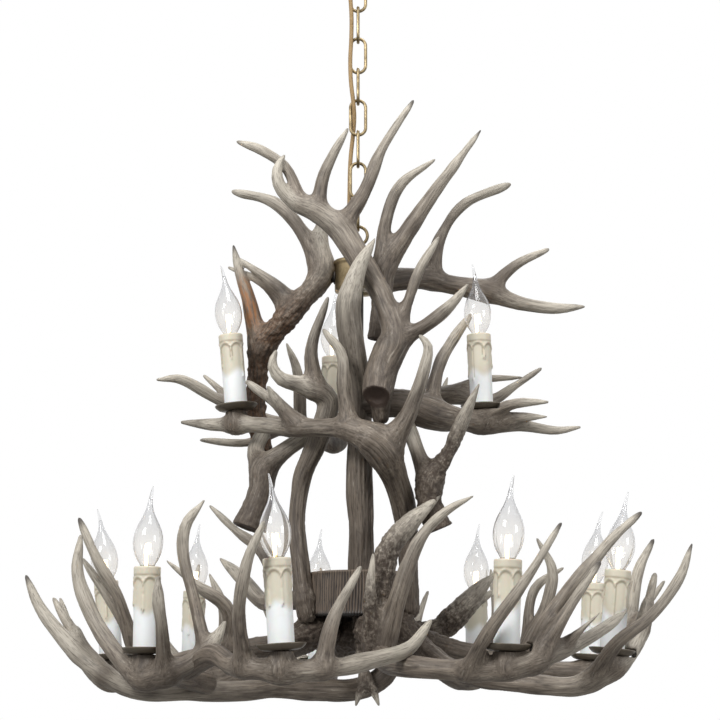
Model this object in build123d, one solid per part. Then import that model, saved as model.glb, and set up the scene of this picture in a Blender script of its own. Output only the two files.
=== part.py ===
"""Two-tier antler chandelier for twelve candle lamps, hung on a chain from a ceiling canopy.

Millimetres, +Z up, +X to the viewer's right, the viewer at -Y. The origin is the middle of the ceiling
face that the bracket is screwed to, and everything hangs below it. Heights in this file are counted
upwards from the level of the lowest antler, and `hang` moves each finished piece down from the ceiling.
"""
from build123d import *
import math
import os

# ---------------------------------------------------------------- driving dimensions
lower_plate_height = 64.0    # plates of the lower ring above the level of the lowest antler
tier_rise = 310.0            # from the lower plates to the upper ones
hub_rise = 152.0             # from the upper plates to the upper hub's underside
drum_rise = 48.0             # from the lower plates to the drum's underside

# chain: oval links of round wire
link_wire = 4.2
link_inner_length = 43.0
link_inner_width = 15.6
seat_gap = 0.3               # between a link and the wire that it hangs on
link_count = 8
loop_inner_radius = 10.0     # screw loops at both ends of the chain
loop_stem = 8.0              # from the canopy loop's wire to the canopy
hub_stem = 22.5              # from the top loop's wire to the upper hub
collar_height = 8.0          # collar of the top loop on the hub

# canopy and bracket
canopy_radius = 60.0
canopy_height = 28.0
canopy_wall = 1.2
canopy_neck_radius = 22.0
canopy_sides = 28
bracket_length = 96.0
bracket_width = 22.0
bracket_thickness = 3.0
ceiling_screw_spacing = 70.0
ceiling_screw_hole = 4.6
stem_radius = 5.0            # threaded stem of both screw loops
stem_collar = 5.0            # how far the collar stands out from the stem
lock_nut_height = 5.0
hole_gap = 0.4               # round a stem, a lead or a lamp cap

# hubs on the axis
hub_radius = 30.0
hub_height = 40.0
hub_rim = 2.0
hub_rim_height = 4.0
hub_sides = 28
tube_radius = 7.0
drum_radius = 62.0
drum_height = 55.0
drum_flutes = 40
flute_depth = 2.6
finial_radius = 7.0
finial_seat = 10.0           # finial's stem inside the drum
finial_drop = 78.0           # finial's fork below the drum
bolt_radius = 4.0
bolt_grip = 10.0             # length of a bolt on each side of the face that it crosses
burr_drop = 14.0             # middle of an antler's burr below the drum
burr_places = {              # where the ring antlers are bolted up under the drum
    "right": (50.0, -22.0), "front_right": (16.0, -48.0), "right_back": (52.0, 16.0),
    "back_right": (28.0, 44.0), "back": (-10.0, 52.0), "back_left": (-42.0, 32.0), "left": (-54.0, -8.0),
}

# candles: plate, sleeve, lamp holder, lamp
plate_radius = 27.0
plate_rim = 5.0
plate_thickness = 1.6
cup_radius = 7.5
cup_depth = 22.0             # from the plate's floor to the bottom of its seat in the antler
nipple_radius = 5.0          # tube from the plate up to the lamp holder
sleeve_radius = 15.0
sleeve_wall = 1.6
sleeve_length = 96.0
holder_radius = 12.0
holder_length = 52.0
holder_recess = 3.0          # holder's rim below the sleeve's
cap_radius = 7.0             # 14 mm screw cap
cap_length = 25.0
bulb_radius = 17.5
bulb_length = 90.0
bulb_travel = 27.0           # way out of the holder
candle_clearance = 1.0       # between a candle and the antlers round it

upper_plate_height = lower_plate_height + tier_rise

# each candle's place, plate height, sideways lean over its sleeve, and bend of its bulb's tip
candles = {
    "left": (-310.0, 40.0, lower_plate_height, -9.0, -5.0),
    "front_left_outer": (-240.0, -190.0, lower_plate_height, 0.0, 5.0),
    "back_left": (-227.0, 240.0, lower_plate_height, 2.0, 4.0),
    "front_left": (-81.0, -311.0, lower_plate_height, -6.0, -4.0),
    "back": (-56.0, 310.0, lower_plate_height, 0.0, 4.0),
    "back_right": (161.0, 240.0, lower_plate_height, 1.0, 5.0),
    "front_right": (160.0, -292.0, lower_plate_height, 3.0, 5.0),
    "right_back": (297.0, 75.0, lower_plate_height, 6.0, 8.0),
    "right": (293.0, -147.0, lower_plate_height, 10.0, 5.0),
    "upper_left": (-154.0, 0.0, upper_plate_height, -9.0, -5.0),
    "upper_right": (157.0, 0.0, upper_plate_height, -3.0, -4.0),
    "upper_back": (-34.0, 150.0, upper_plate_height, 0.0, 4.0),
}

# lead that runs down through the chain
cord_diameter = 5.5

# number of flats round a section
beam_sides = 7
tine_sides = 5
candle_sides = 10
plate_sides = 8
lamp_sides = 6
keep_out_sides = 12
cord_sides = 6

os.makedirs("parts", exist_ok=True)


# ---------------------------------------------------------------- shaping
def polygon_ring(centre, direction, radius, sides, reference):
    """Corners of a regular polygon square to a direction, and its first side axis."""
    along = direction.normalized()
    side = (reference - along * reference.dot(along)).normalized()
    other = along.cross(side)
    step = 2 * math.pi / sides
    corners = [centre + side * (radius * math.cos(i * step)) + other * (radius * math.sin(i * step))
               for i in range(sides)]
    return corners, side


def skin(rings, closed=False):
    """Solid with flat facets through rings that all have the same number of corners."""
    faces = []

    def facet(*corners):
        faces.append(Face(Wire.make_polygon(corners, close=True)))

    following = rings[1:] + rings[:1] if closed else rings[1:]
    for low, high in zip(rings, following):
        for i in range(len(low)):
            j = (i + 1) % len(low)
            facet(low[i], low[j], high[j])
            facet(low[i], high[j], high[i])
    if not closed:
        facet(*reversed(rings[0]))
        facet(*rings[-1])
    return Solid(Shell(faces))


def branch(points, sides):
    """Tapering limb through (x, y, height, radius) points, each section square to the limb."""
    centres = [Vector(*point[:3]) for point in points]
    first = (centres[1] - centres[0]).normalized()
    reference = Vector(0, 0, 1) if abs(first.Z) < 0.8 else Vector(1, 0, 0)
    rings = []
    for i, point in enumerate(points):
        ahead = centres[min(i + 1, len(centres) - 1)]
        behind = centres[max(i - 1, 0)]
        ring, reference = polygon_ring(centres[i], ahead - behind, point[3], sides, reference)
        rings.append(ring)
    return skin(rings)


def turned(profile, sides, hollow=False):
    """Many-sided piece about the Z axis from (radius, height) points.

    A solid one goes up its outside; a hollow one goes up the outside and down its bore.
    """
    rings = [polygon_ring(Vector(0, 0, h), Vector(0, 0, 1), r, sides, Vector(1, 0, 0))[0]
             for r, h in profile]
    return skin(rings, closed=hollow)


def wire_loop(inner_length, inner_width, wire, arc_steps, sides=6):
    """Closed oval of round wire that stands in the XZ plane round the origin."""
    bend = (inner_width + wire) / 2
    straight = (inner_length - inner_width) / 2
    rings = []
    for end in (1, -1):
        for k in range(arc_steps + (1 if straight > 0 else 0)):
            angle = math.pi * (k / arc_steps + (0 if end == 1 else 1))
            out = Vector(math.cos(angle), 0, math.sin(angle))
            tangent = Vector(-math.sin(angle), 0, math.cos(angle))
            centre = out * bend + Vector(0, 0, end * straight)
            rings.append(polygon_ring(centre, tangent, wire / 2, sides, out)[0])
    return skin(rings, closed=True)


def hang(shape):
    return shape.moved(Location((0, 0, -ceiling_height)))


def save(shape, node):
    export_step(hang(shape), f"parts/{node}.step")


def group(solids):
    return Compound(children=list(solids))


def at_height(shape, height, x=0.0, y=0.0):
    return shape.moved(Location((x, y, height)))


def rod(radius, low, high, x=0.0, y=0.0, sides=16):
    """Upright round bar as a many-sided prism."""
    return at_height(turned([(radius, 0), (radius, high - low)], sides), low, x, y)


def screw_hole(radius, low, high, x=0.0, y=0.0):
    return at_height(Cylinder(radius, high - low), (low + high) / 2, x, y)


# ---------------------------------------------------------------- heights along the axis
drum_bottom = lower_plate_height + drum_rise
drum_top = drum_bottom + drum_height
hub_bottom = upper_plate_height + hub_rise
hub_top = hub_bottom + hub_height
link_pitch = link_inner_length - seat_gap
link_reach = (link_inner_length + link_wire) / 2       # link's centre to the middle of its end wire
loop_reach = loop_inner_radius + link_wire / 2
hook_drop = link_wire + seat_gap                       # between the middles of two hooked wires
lower_loop_centre = hub_top + hub_stem + loop_reach
last_link_centre = lower_loop_centre + loop_reach - hook_drop + link_reach
link_centres = [last_link_centre + i * link_pitch for i in reversed(range(link_count))]
upper_loop_centre = link_centres[0] + link_reach - hook_drop + loop_reach
canopy_bottom = upper_loop_centre + loop_reach + loop_stem
ceiling_height = canopy_bottom + canopy_height
bracket_bottom = ceiling_height - bracket_thickness


# ---------------------------------------------------------------- chain, loops, canopy
def make_link(index):
    link = wire_loop(link_inner_length, link_inner_width, link_wire, 6)
    if index % 2:
        link = link.rotate(Axis.Z, 90)
    return at_height(link, link_centres[index])


def make_eye(centre, crosswise):
    eye = wire_loop(2 * loop_inner_radius, 2 * loop_inner_radius, link_wire, 8)
    return at_height(eye.rotate(Axis.Z, 90) if crosswise else eye, centre)


def make_collar(low, high):
    return rod(stem_radius + stem_collar, low, high)


for index in range(link_count):
    save(make_link(index), f"chain_link_{index + 1}")

ring_top = upper_loop_centre + loop_reach
canopy_loop = make_eye(upper_loop_centre, True)
canopy_loop += rod(stem_radius, ring_top, ceiling_height)
canopy_loop += make_collar(ring_top + link_wire / 2, canopy_bottom)
lock_nut = extrude(RegularPolygon(stem_radius + stem_collar, 6), lock_nut_height)
canopy_loop += at_height(lock_nut, bracket_bottom - lock_nut_height)
save(canopy_loop, "canopy_loop")

bracket = at_height(Box(bracket_length, bracket_width, bracket_thickness),
                    ceiling_height - bracket_thickness / 2)
bracket -= rod(stem_radius, bracket_bottom - 1, ceiling_height + 1)
for side in (-1, 1):
    bracket -= screw_hole(ceiling_screw_hole / 2, bracket_bottom - 1, ceiling_height + 1,
                          side * ceiling_screw_spacing / 2)
save(bracket, "ceiling_bracket")

canopy_drops = [(canopy_radius, 0.0), (canopy_radius, 3.0), (canopy_radius * 0.92, 9.0),
                (canopy_radius * 0.62, 18.0), (canopy_neck_radius, canopy_height)]


def bell(drops):
    return turned([(r, ceiling_height - drop) for r, drop in reversed(drops)], canopy_sides)


cavity_drops = [(r - canopy_wall, drop - canopy_wall) for r, drop in canopy_drops]
cord_exit = (-14.0, -6.0)
canopy = bell(canopy_drops) - bell(cavity_drops)
canopy -= rod(stem_radius + hole_gap, canopy_bottom - 1, canopy_bottom + 2)
canopy -= rod(cord_diameter / 2 + hole_gap, canopy_bottom - 1, canopy_bottom + 2, *cord_exit)
save(canopy, "canopy")

# ---------------------------------------------------------------- hub, tube, drum, finial
top_loop = make_eye(lower_loop_centre, False)
ring_bottom = lower_loop_centre - loop_reach
top_loop += rod(stem_radius, hub_top - 10, ring_bottom)
top_loop += make_collar(hub_top, hub_top + collar_height)
save(top_loop, "top_loop")

cord_entry = (-16.0, 7.0)
tube_seat = 10.0
upper_hub = turned([(hub_radius, hub_bottom), (hub_radius, hub_top - hub_rim_height - hub_rim),
                    (hub_radius + hub_rim, hub_top - hub_rim_height), (hub_radius + hub_rim, hub_top)],
                   hub_sides)
upper_hub -= rod(stem_radius, hub_top - 10, hub_top + 1)
upper_hub -= rod(tube_radius, hub_bottom - 1, hub_bottom + tube_seat)
upper_hub -= rod(cord_diameter / 2 + hole_gap, hub_top - 12, hub_top + 1, *cord_entry)
save(upper_hub, "upper_hub")

finial_top = drum_bottom + finial_seat
centre_tube = rod(tube_radius, finial_top, hub_bottom + tube_seat)

fork = drum_bottom - finial_drop
finial_stem = branch([(0, 0, finial_top, finial_radius), (0, 0, drum_bottom - 2, finial_radius),
                      (3, -2, fork + 38, finial_radius), (9, -4, fork, finial_radius)], tine_sides)
finial = finial_stem
finial += branch([(9, -4, fork + 4, 7), (1, -5, fork - 16, 5), (-2, -6, fork - 27, 3)], tine_sides)
finial += branch([(9, -4, fork + 4, 7), (20, -5, fork - 14, 5), (25, -6, fork - 27, 3)], tine_sides)

flute_corners = [((drum_radius - (flute_depth if i % 2 else 0)) * math.cos(math.pi * i / drum_flutes),
                  (drum_radius - (flute_depth if i % 2 else 0)) * math.sin(math.pi * i / drum_flutes))
                 for i in range(2 * drum_flutes)]
drum = at_height(extrude(Polygon(*flute_corners, align=None), drum_height), drum_bottom)
drum -= rod(tube_radius, finial_top, drum_top + 1)
drum -= finial


# ---------------------------------------------------------------- candles
def stand(shape, name):
    """Puts a piece made upright on the origin onto its candle's plate, with the candle's lean."""
    x, y, height, lean, _ = candles[name]
    tilt = math.degrees(math.atan2(lean, sleeve_length))
    return shape.moved(Location((x, y, height), (0, tilt, 0)))


floor_radius = plate_radius - 8
holder_top = sleeve_length - holder_recess
holder_bottom = holder_top - holder_length
bore_bottom = holder_top - cap_length - seat_gap

plate_blank = turned([(cup_radius, -cup_depth), (cup_radius, -plate_thickness),
                      (floor_radius, -plate_thickness), (plate_radius, plate_rim - plate_thickness),
                      (plate_radius - 0.6, plate_rim), (floor_radius, 0), (nipple_radius, 0),
                      (nipple_radius, holder_bottom)], plate_sides)
sleeve_bore = sleeve_radius - sleeve_wall
sleeve_blank = turned([(sleeve_radius, 0), (sleeve_radius, sleeve_length),
                       (sleeve_bore, sleeve_length), (sleeve_bore, 0)], candle_sides, hollow=True)
bore_radius = cap_radius + hole_gap
holder_blank = turned([(holder_radius, holder_bottom), (holder_radius, holder_top),
                       (bore_radius, holder_top), (bore_radius, bore_bottom)], lamp_sides)

# share of the bulb's length and radius, and share of the bend of its tip, from the cap upwards
bulb_outline = [(0.02, 0.46, 0.0), (0.15, 0.82, 0.0), (0.34, 1.0, 0.0), (0.56, 0.80, 0.05),
                (0.76, 0.42, 0.3), (0.90, 0.18, 0.7), (1.0, 0.06, 1.0)]


def make_bulb(bend):
    """Screw cap and flame-shaped glass whose tip leans sideways by `bend`."""
    glass_bottom = holder_top + 1
    profile = [(cap_radius, holder_top - cap_length, 0.0), (cap_radius, glass_bottom, 0.0)]
    profile += [(bulb_radius * wide, glass_bottom + bulb_length * up, bend * aside)
                for up, wide, aside in bulb_outline]
    rings = [polygon_ring(Vector(aside, 0, up), Vector(0, 0, 1), r, lamp_sides, Vector(1, 0, 0))[0]
             for r, up, aside in profile]
    return skin(rings)


keep_out_blank = turned([(plate_radius + candle_clearance, -plate_thickness - candle_clearance),
                         (plate_radius + candle_clearance, plate_rim + 2),
                         (bulb_radius + candle_clearance, plate_rim + 9),
                         (bulb_radius + candle_clearance, sleeve_length + bulb_length + bulb_travel)],
                        keep_out_sides)
plates = [stand(plate_blank, name) for name in candles]
keep_outs = [stand(keep_out_blank, name) for name in candles]
save(group(plates), "drip_plates")
save(group([stand(sleeve_blank, name) for name in candles]), "candle_sleeves")
save(group([stand(holder_blank, name) for name in candles]), "lamp_holders")
for name in candles:
    save(stand(make_bulb(candles[name][4]), name), f"bulb_{name}")


# ---------------------------------------------------------------- bolts from the hub and the drum
def make_bolt(point, direction, length):
    """Six-sided shank that starts inside a hub and reaches into an antler."""
    start = Vector(*point)
    way = Vector(*direction).normalized()
    reference = Vector(0, 0, 1) if abs(way.Z) < 0.8 else Vector(1, 0, 0)
    ends = [polygon_ring(start + way * step, way, bolt_radius, tine_sides, reference)[0]
            for step in (0, length)]
    return skin(ends)


hub_middle = hub_bottom + hub_height / 2
under_drum = drum_bottom - burr_drop
side_bolts = [((math.cos(math.radians(azimuth)) * (hub_radius - bolt_grip),
                math.sin(math.radians(azimuth)) * (hub_radius - bolt_grip), hub_middle),
               (math.cos(math.radians(azimuth)), math.sin(math.radians(azimuth)), 0))
              for azimuth in (4, -41, 180)]
bolts = [make_bolt(point, way, 2 * bolt_grip) for point, way in side_bolts]
bolts += [make_bolt((x, y, drum_bottom + bolt_grip), (0, 0, -1), 2 * bolt_grip)
          for x, y in burr_places.values()]
for bolt in bolts:
    drum -= bolt
    upper_hub -= bolt
save(group(bolts), "antler_bolts")
save(upper_hub, "upper_hub")
save(centre_tube, "centre_tube")
save(finial, "finial")
save(drum, "lower_drum")


# ---------------------------------------------------------------- antlers
def near(a, b):
    """Whether the boxes of two shapes meet."""
    box_a, box_b = a.bounding_box(), b.bounding_box()
    return all(low_a <= high_b and low_b <= high_a for low_a, high_a, low_b, high_b in zip(
        tuple(box_a.min), tuple(box_a.max), tuple(box_b.min), tuple(box_b.max)))


def under(name, drop, radius):
    """Point of a beam that passes under a candle, counted from the level of its plate."""
    x, y = candles[name][:2]
    return (x, y, -drop, radius)


def burr(name, radius):
    """First point of an antler that is bolted up under the drum."""
    x, y = burr_places[name]
    return (x, y, under_drum - lower_plate_height, radius)


hardware = [drum, upper_hub, centre_tube, finial, *bolts]
fitted = []


def raised(points, level):
    return [(x, y, level + rise, radius) for x, y, rise, radius in points]


def grow(node, level, beam, *tines):
    """One antler: a beam with its tines, coped round everything that it is fitted against.

    Its points are (x, y, height above `level`, radius).
    """
    antler = branch(raised(beam, level), beam_sides)
    for tine in tines:
        antler += branch(raised(tine, level), tine_sides)
    for other in hardware + keep_outs + plates + fitted:
        if near(antler, other):
            antler -= other
    pieces = sorted(antler.solids(), key=lambda solid: solid.volume, reverse=True)
    if len(pieces) > 1:
        print(f"{node}: {len(pieces)} pieces, loses {[round(p.volume) for p in pieces[1:]]} mm3")
    fitted.append(pieces[0])
    save(pieces[0], node)


# posts that stand on the drum and carry the upper tier
grow("antler_front_post", upper_plate_height,
     [(2, -34, drum_bottom + 30 - upper_plate_height, 16),
      (4, -36, -170, 16), (2, -40, -108, 17), (2, -48, -46, 16),
      (2, -64, 14, 15), (-8, -86, 72, 16), (-12, -98, 112, 16), (0, -104, 156, 10),
      (20, -104, 194, 3)])
grow("antler_right_post", upper_plate_height,
     [(64, -14, drum_bottom + 12 - upper_plate_height, 14),
      (62, -22, -192, 12), (58, -36, -138, 15), (44, -70, -92, 17),
      (22, -102, -58, 23), (-10, -100, -42, 14), (-44, -80, -36, 11), (-84, -50, -32, 10),
      (-120, -22, -24, 10), under("upper_left", 20, 10), (-192, 22, -16, 7), (-226, 44, -10, 3)],
     [(-10, -100, -40, 12), (-18, -106, 8, 8), (-20, -112, 48, 7), (-40, -116, 76, 4)],
     [(38, -98, -62, 17), (64, -116, -18, 10), (80, -128, 28, 8), (84, -130, 56, 5), (76, -130, 66, 3)],
     [(-66, -62, -32, 10), (-102, -58, -2, 7), (-136, -54, 24, 4)],
     [(-76, -56, -32, 7), (-110, -72, 14, 3)])
grow("antler_left_post", upper_plate_height,
     [(-62, -26, drum_bottom + 4 - upper_plate_height, 13),
      (-70, -22, -204, 12), (-76, -18, -142, 11), (-68, -22, -86, 12),
      (-50, -34, -44, 14), (-38, -44, 6, 14), (-70, -56, 20, 11), (-96, -66, 28, 8),
      (-106, -70, 44, 6), (-102, -72, 58, 4)],
     [(-52, -50, 18, 11), (-58, -60, 64, 8), (-38, -72, 126, 4)],
     [(-64, -24, -240, 13), (-94, 30, -240, 12), (-120, 60, -240, 11), (-152, 84, -206, 9), (-178, 100, -182, 4)],
     [(-96, 36, -240, 10), (-124, 66, -174, 8), (-158, 78, -146, 6), (-192, 90, -114, 3)])

# arms of the upper tier
grow("antler_upper_right", upper_plate_height,
     [(10, -58, -4, 17), (52, -54, -2, 19), (88, -40, -12, 21), (122, -18, -16, 16),
      under("upper_right", 18, 12), (206, 6, -20, 8), (250, 8, -26, 6), (280, 8, -22, 3)],
     [(148, -6, -12, 10), (198, -20, 4, 6), (236, -28, 4, 3)],
     [(174, 2, -16, 8), (204, -8, -12, 6), (236, -14, -12, 3)],
     [(90, -36, -2, 11), (102, -10, 52, 8), (120, 14, 90, 7), (144, 26, 126, 4)])
grow("antler_upper_back_left", upper_plate_height,
     [(-4, -2, -8, 16), (-24, 80, -10, 15), under("upper_back", 18, 15), (-92, 150, -2, 11),
      (-178, 118, 28, 8), (-236, 96, 56, 6), (-264, 88, 54, 3)],
     [(-158, 124, 22, 7), (-206, 130, 66, 3)],
     [(-78, 152, -2, 9), (-82, 140, 74, 7), (-96, 130, 110, 3)],
     [(-98, 146, 2, 9), (-144, 100, -28, 6), (-204, 78, -28, 3)],
     [(-36, 142, -20, 12), (-22, 190, -8, 10), (-6, 226, 22, 8), (2, 240, 70, 3)])
grow("antler_upper_back_right", upper_plate_height,
     [(0, 4, 14, 15), (68, 40, 14, 14), (116, 50, 26, 11), (172, 52, 20, 8), (202, 50, 38, 6),
      (236, 46, 60, 3)],
     [(106, 48, 24, 9), (160, 58, 48, 6), (212, 62, 52, 3)],
     [(60, 36, 12, 12), (86, 96, 14, 10), (108, 154, 30, 8), (122, 176, 72, 3)])

# crown round the upper hub
grow("antler_crown_right", hub_middle,
     [(24, 3, -6, 17), (76, 18, 2, 14), (122, 34, -2, 13), (170, 44, -10, 14),
      (214, 48, -24, 9), (258, 50, -30, 8), (294, 50, -28, 4)],
     [(172, 44, -6, 10), (208, 46, 28, 7), (248, 48, 48, 4)],
     [(96, 26, 6, 12), (106, 24, 56, 8), (138, 20, 102, 7), (194, 14, 126, 6)])
grow("antler_crown_left", hub_middle,
     [(-120, 26, -218, 13), (-132, 40, -170, 14), (-130, 38, -128, 13), (-124, 26, -88, 15),
      (-96, 12, -56, 15), (-68, 2, -26, 14), (-45, 0, 6, 16), (-49, 4, 44, 12),
      (-46, 10, 86, 6)],
     [(-126, 26, -90, 14), (-142, 26, -24, 10), (-154, 24, 12, 7), (-162, 22, 46, 3)],
     [(-50, 0, 10, 13), (-72, 2, 60, 9), (-108, 6, 100, 8), (-160, 10, 116, 5)],
     [(-80, 4, -34, 10), (-106, 8, -8, 7), (-156, 14, 30, 4)],
     [(-90, 10, -44, 9), (-124, 22, -2, 6), (-168, 28, 22, 3)])
grow("antler_crown_back", hub_middle,
     [(24, -28, -88, 13), (30, -28, -38, 14), (32, -28, 0, 15), (60, -36, 46, 11),
      (108, -43, 116, 8), (156, -48, 180, 3)],
     [(30, -29, 6, 12), (34, -36, 58, 8), (54, -42, 110, 7), (96, -50, 140, 4)])
grow("antler_crown_front", hub_middle,
     [(24, -90, -200, 20), (30, -95, -142, 16), (46, -90, -104, 16), (32, -82, -50, 14), (4, -70, 2, 15),
      (-22, -62, 46, 16), (-52, -60, 70, 13), (-84, -62, 84, 9), (-100, -66, 104, 8),
      (-102, -66, 126, 6), (-94, -62, 142, 3)],
     [(-70, -60, 80, 8), (-92, -52, 130, 7), (-122, -48, 154, 6), (-152, -45, 166, 4)],
     [(-50, -60, 72, 9), (-44, -62, 114, 8), (-30, -66, 146, 6), (-14, -70, 174, 3)],
     [(-16, -60, 56, 11), (8, -58, 98, 9), (30, -52, 154, 7), (70, -40, 222, 3)],
     [(52, -90, -102, 11), (88, -105, -82, 9), (114, -118, -62, 7), (132, -128, -42, 3)],
     [(50, -88, -88, 9), (62, -92, -52, 7), (76, -96, -14, 6), (98, -98, 24, 4)])

# forks that hang under the upper tier
grow("antler_hanging_left", upper_plate_height,
     [(-138, -8, -152, 19), (-122, -4, -106, 16), (-116, 0, -76, 16), (-92, -8, -54, 11),
      (-70, -16, -40, 10), (-48, -24, -22, 9)],
     [(-120, 0, -82, 14), (-130, 14, -52, 11), (-122, 22, -30, 10)])
grow("antler_hanging_right", upper_plate_height,
     [(100, -58, -158, 15), (88, -60, -128, 15), (88, -64, -98, 15), (108, -74, -70, 10),
      (126, -88, -32, 9), (146, -104, 12, 3)],
     [(90, -64, -104, 13), (76, -56, -70, 10), (60, -50, -24, 9)])

# lower ring, each antler bolted up under the drum or onto one that is
grow("antler_ring_right", lower_plate_height,
     [burr("right", 19), (78, -36, 10, 14), (122, -60, -20, 12), (208, -104, -34, 12), (256, -136, -36, 12),
      under("right", 17, 13), (322, -136, 10, 9), (340, -118, 54, 4)],
     [(270, -142, -28, 10), (296, -186, 12, 8), (332, -188, 40, 7), (368, -180, 84, 7), (384, -176, 122, 3)],
     [(332, -128, 28, 6), (352, -104, 92, 4)])
grow("antler_ring_front_right", lower_plate_height,
     [burr("front_right", 19), (22, -78, 10, 14), (34, -150, -10, 13), (58, -222, -17, 13),
      (114, -262, -22, 11), under("front_right", 21, 12), (200, -290, -8, 11), (242, -268, 8, 8),
      (280, -236, 30, 6), (300, -220, 44, 2)],
     [(122, -270, -22, 11), (140, -318, 18, 8), (180, -336, 74, 6), (216, -332, 130, 3)],
     [(184, -292, -16, 11), (206, -284, 32, 9), (252, -264, 88, 8), (284, -250, 124, 6), (316, -238, 152, 3)],
     [(194, -292, -12, 10), (218, -300, 30, 7), (262, -288, 92, 3)],
     [(216, -284, -2, 5), (260, -296, 38, 2)])
grow("antler_ring_right_back", lower_plate_height,
     [burr("right_back", 19), (92, 28, 18, 14), (140, 40, 6, 13), (230, 62, -14, 13),
      under("right_back", 16, 14), (324, 83, -12, 13), (348, 92, 38, 10), (364, 98, 112, 7),
      (384, 100, 152, 3)],
     [(204, 56, -6, 10), (240, 44, 72, 8), (246, 40, 110, 7), (228, 36, 148, 3)],
     [(212, 58, -10, 8), (226, 64, 88, 6), (262, 70, 114, 3)],
     [(342, 88, 26, 6), (390, 60, 96, 3)])
grow("antler_ring_back_right", lower_plate_height,
     [burr("back_right", 19), (58, 78, 20, 15), (100, 136, -6, 15), under("back_right", 19, 16),
      (206, 262, 30, 11), (220, 270, 100, 3)],
     [(150, 226, -16, 13), (180, 284, 6, 11), (196, 326, 68, 8), (190, 340, 132, 3)],
     [(50, 62, 30, 15), (104, 66, 36, 15), (140, 62, 72, 13), (174, 58, 106, 3)],
     [(120, 64, 48, 10), (174, 80, 86, 4)])
grow("antler_ring_back", lower_plate_height,
     [burr("back", 19), (-18, 96, 14, 15), (-38, 190, -10, 15), under("back", 19, 16),
      (-96, 335, 20, 11), (-138, 340, 90, 4)],
     [(-54, 300, -18, 12), (-38, 346, 10, 10), (-46, 362, 76, 8), (-54, 366, 136, 3)],
     [(-28, 140, 2, 12), (60, 188, 20, 8), (94, 205, 92, 3)])
grow("antler_ring_back_left", lower_plate_height,
     [burr("back_left", 19), (-82, 84, 16, 15), (-128, 140, -8, 14), under("back_left", 19, 15),
      (-274, 260, 30, 10), (-302, 262, 100, 3)],
     [(-216, 228, -16, 12), (-230, 284, 8, 10), (-236, 308, 76, 8), (-226, 314, 136, 3)],
     [(-186, 200, -10, 9), (-184, 230, 70, 7), (-204, 235, 118, 3)])
grow("antler_ring_left", lower_plate_height,
     [burr("left", 19), (-96, -14, 16, 14), (-150, -28, 6, 13), (-232, 4, -10, 14),
      under("left", 26, 15), (-356, 70, 10, 9), (-384, 90, 76, 3)],
     [(-272, 20, -12, 10), (-296, -18, 74, 7), (-320, -24, 114, 7), (-344, -26, 166, 4)],
     [(-258, 12, -10, 9), (-304, -8, 66, 7), (-340, -14, 118, 4)],
     [(-154, -28, 8, 11), (-160, -44, 58, 9), (-198, -60, 86, 6), (-230, -72, 112, 2)])
grow("antler_ring_low", lower_plate_height,
     [(52, 22, 10, 14), (30, 24, -24, 14), (2, 26, -38, 14), (-46, 0, -40, 14), (-100, -40, -38, 13),
      (-138, -80, -42, 13), (-196, -118, -42, 12), (-260, -134, -40, 12), (-300, -134, -20, 10),
      (-342, -124, 16, 9), (-374, -114, 54, 7), (-392, -110, 90, 3)],
     [(-294, -134, -24, 9), (-332, -112, 22, 7), (-360, -100, 64, 4)],
     [(-324, -126, 0, 5), (-328, -118, 28, 2)])
grow("antler_ring_front_left_outer", lower_plate_height,
     [(-178, -124, -32, 14), (-196, -160, -28, 13), (-216, -200, -26, 13),
      under("front_left_outer", 29, 14), (-276, -168, 0, 10), (-310, -140, 46, 9), (-330, -124, 96, 8),
      (-328, -120, 136, 4)],
     [(-216, -202, -24, 11), (-186, -212, -12, 11), (-162, -216, 8, 8), (-150, -214, 30, 4)],
     [(-216, -204, -24, 10), (-218, -232, 30, 7), (-222, -236, 56, 7), (-222, -238, 80, 3)],
     [(-170, -214, 0, 9), (-186, -196, 60, 7), (-200, -186, 114, 7), (-198, -184, 144, 7),
      (-178, -182, 172, 3)])
grow("antler_ring_front_left", lower_plate_height,
     [(-190, -194, -18, 13), (-158, -238, -4, 12), (-136, -268, -16, 12), (-114, -294, -20, 12),
      under("front_left", 24, 12), (-40, -298, -22, 11), (2, -268, -14, 10), (28, -246, -7, 9),
      (56, -222, 3, 8), (82, -190, 34, 3)],
     [(-122, -290, -18, 11), (-126, -322, 40, 7), (-116, -338, 92, 6), (-100, -344, 130, 3)],
     [(-38, -298, -20, 11), (-26, -300, 32, 8), (2, -296, 86, 3)])
grow("antler_center_spur", lower_plate_height,
     [(22, -100, 2, 14), (26, -98, 64, 15), (38, -92, 126, 14), (62, -84, 156, 12), (92, -72, 184, 8)],
     [(32, -106, 2, 13), (50, -124, 74, 11), (72, -132, 132, 8), (102, -138, 164, 6), (134, -142, 182, 3)],
     [(18, -102, 10, 11), (14, -122, 62, 8), (18, -126, 114, 3)])

# ---------------------------------------------------------------- lead through the chain
cord_points = [(*cord_exit, 12), (-13.6, -6.3, 53), (-8.4, -6.6, 105), (-8.8, -5.8, 144),
               (-10.6, -6.3, 172), (-9.6, -6.2, 204), (-6.0, -5.9, 231), (-4.6, -0.2, 250),
               (-6.2, 5.9, 269), (-10.6, 5.8, 308), (-11.2, 5.7, 360), (-12.6, 7.0, 398),
               (-15.8, 6.9, 426), (*cord_entry, ceiling_height - hub_top + 10)]
route = [Vector(x, y, ceiling_height - drop) for x, y, drop in cord_points]
shortest_near = [min((b - a).length, (c - b).length) for a, b, c in zip(route, route[1:], route[2:])]
turns = [(b - a).get_angle(c - b) for a, b, c in zip(route, route[1:], route[2:])]
radii = [0.45 * run / math.tan(math.radians(turn / 2)) for run, turn in zip(shortest_near, turns)]
print("lead radii", [round(r) for r in radii])

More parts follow.
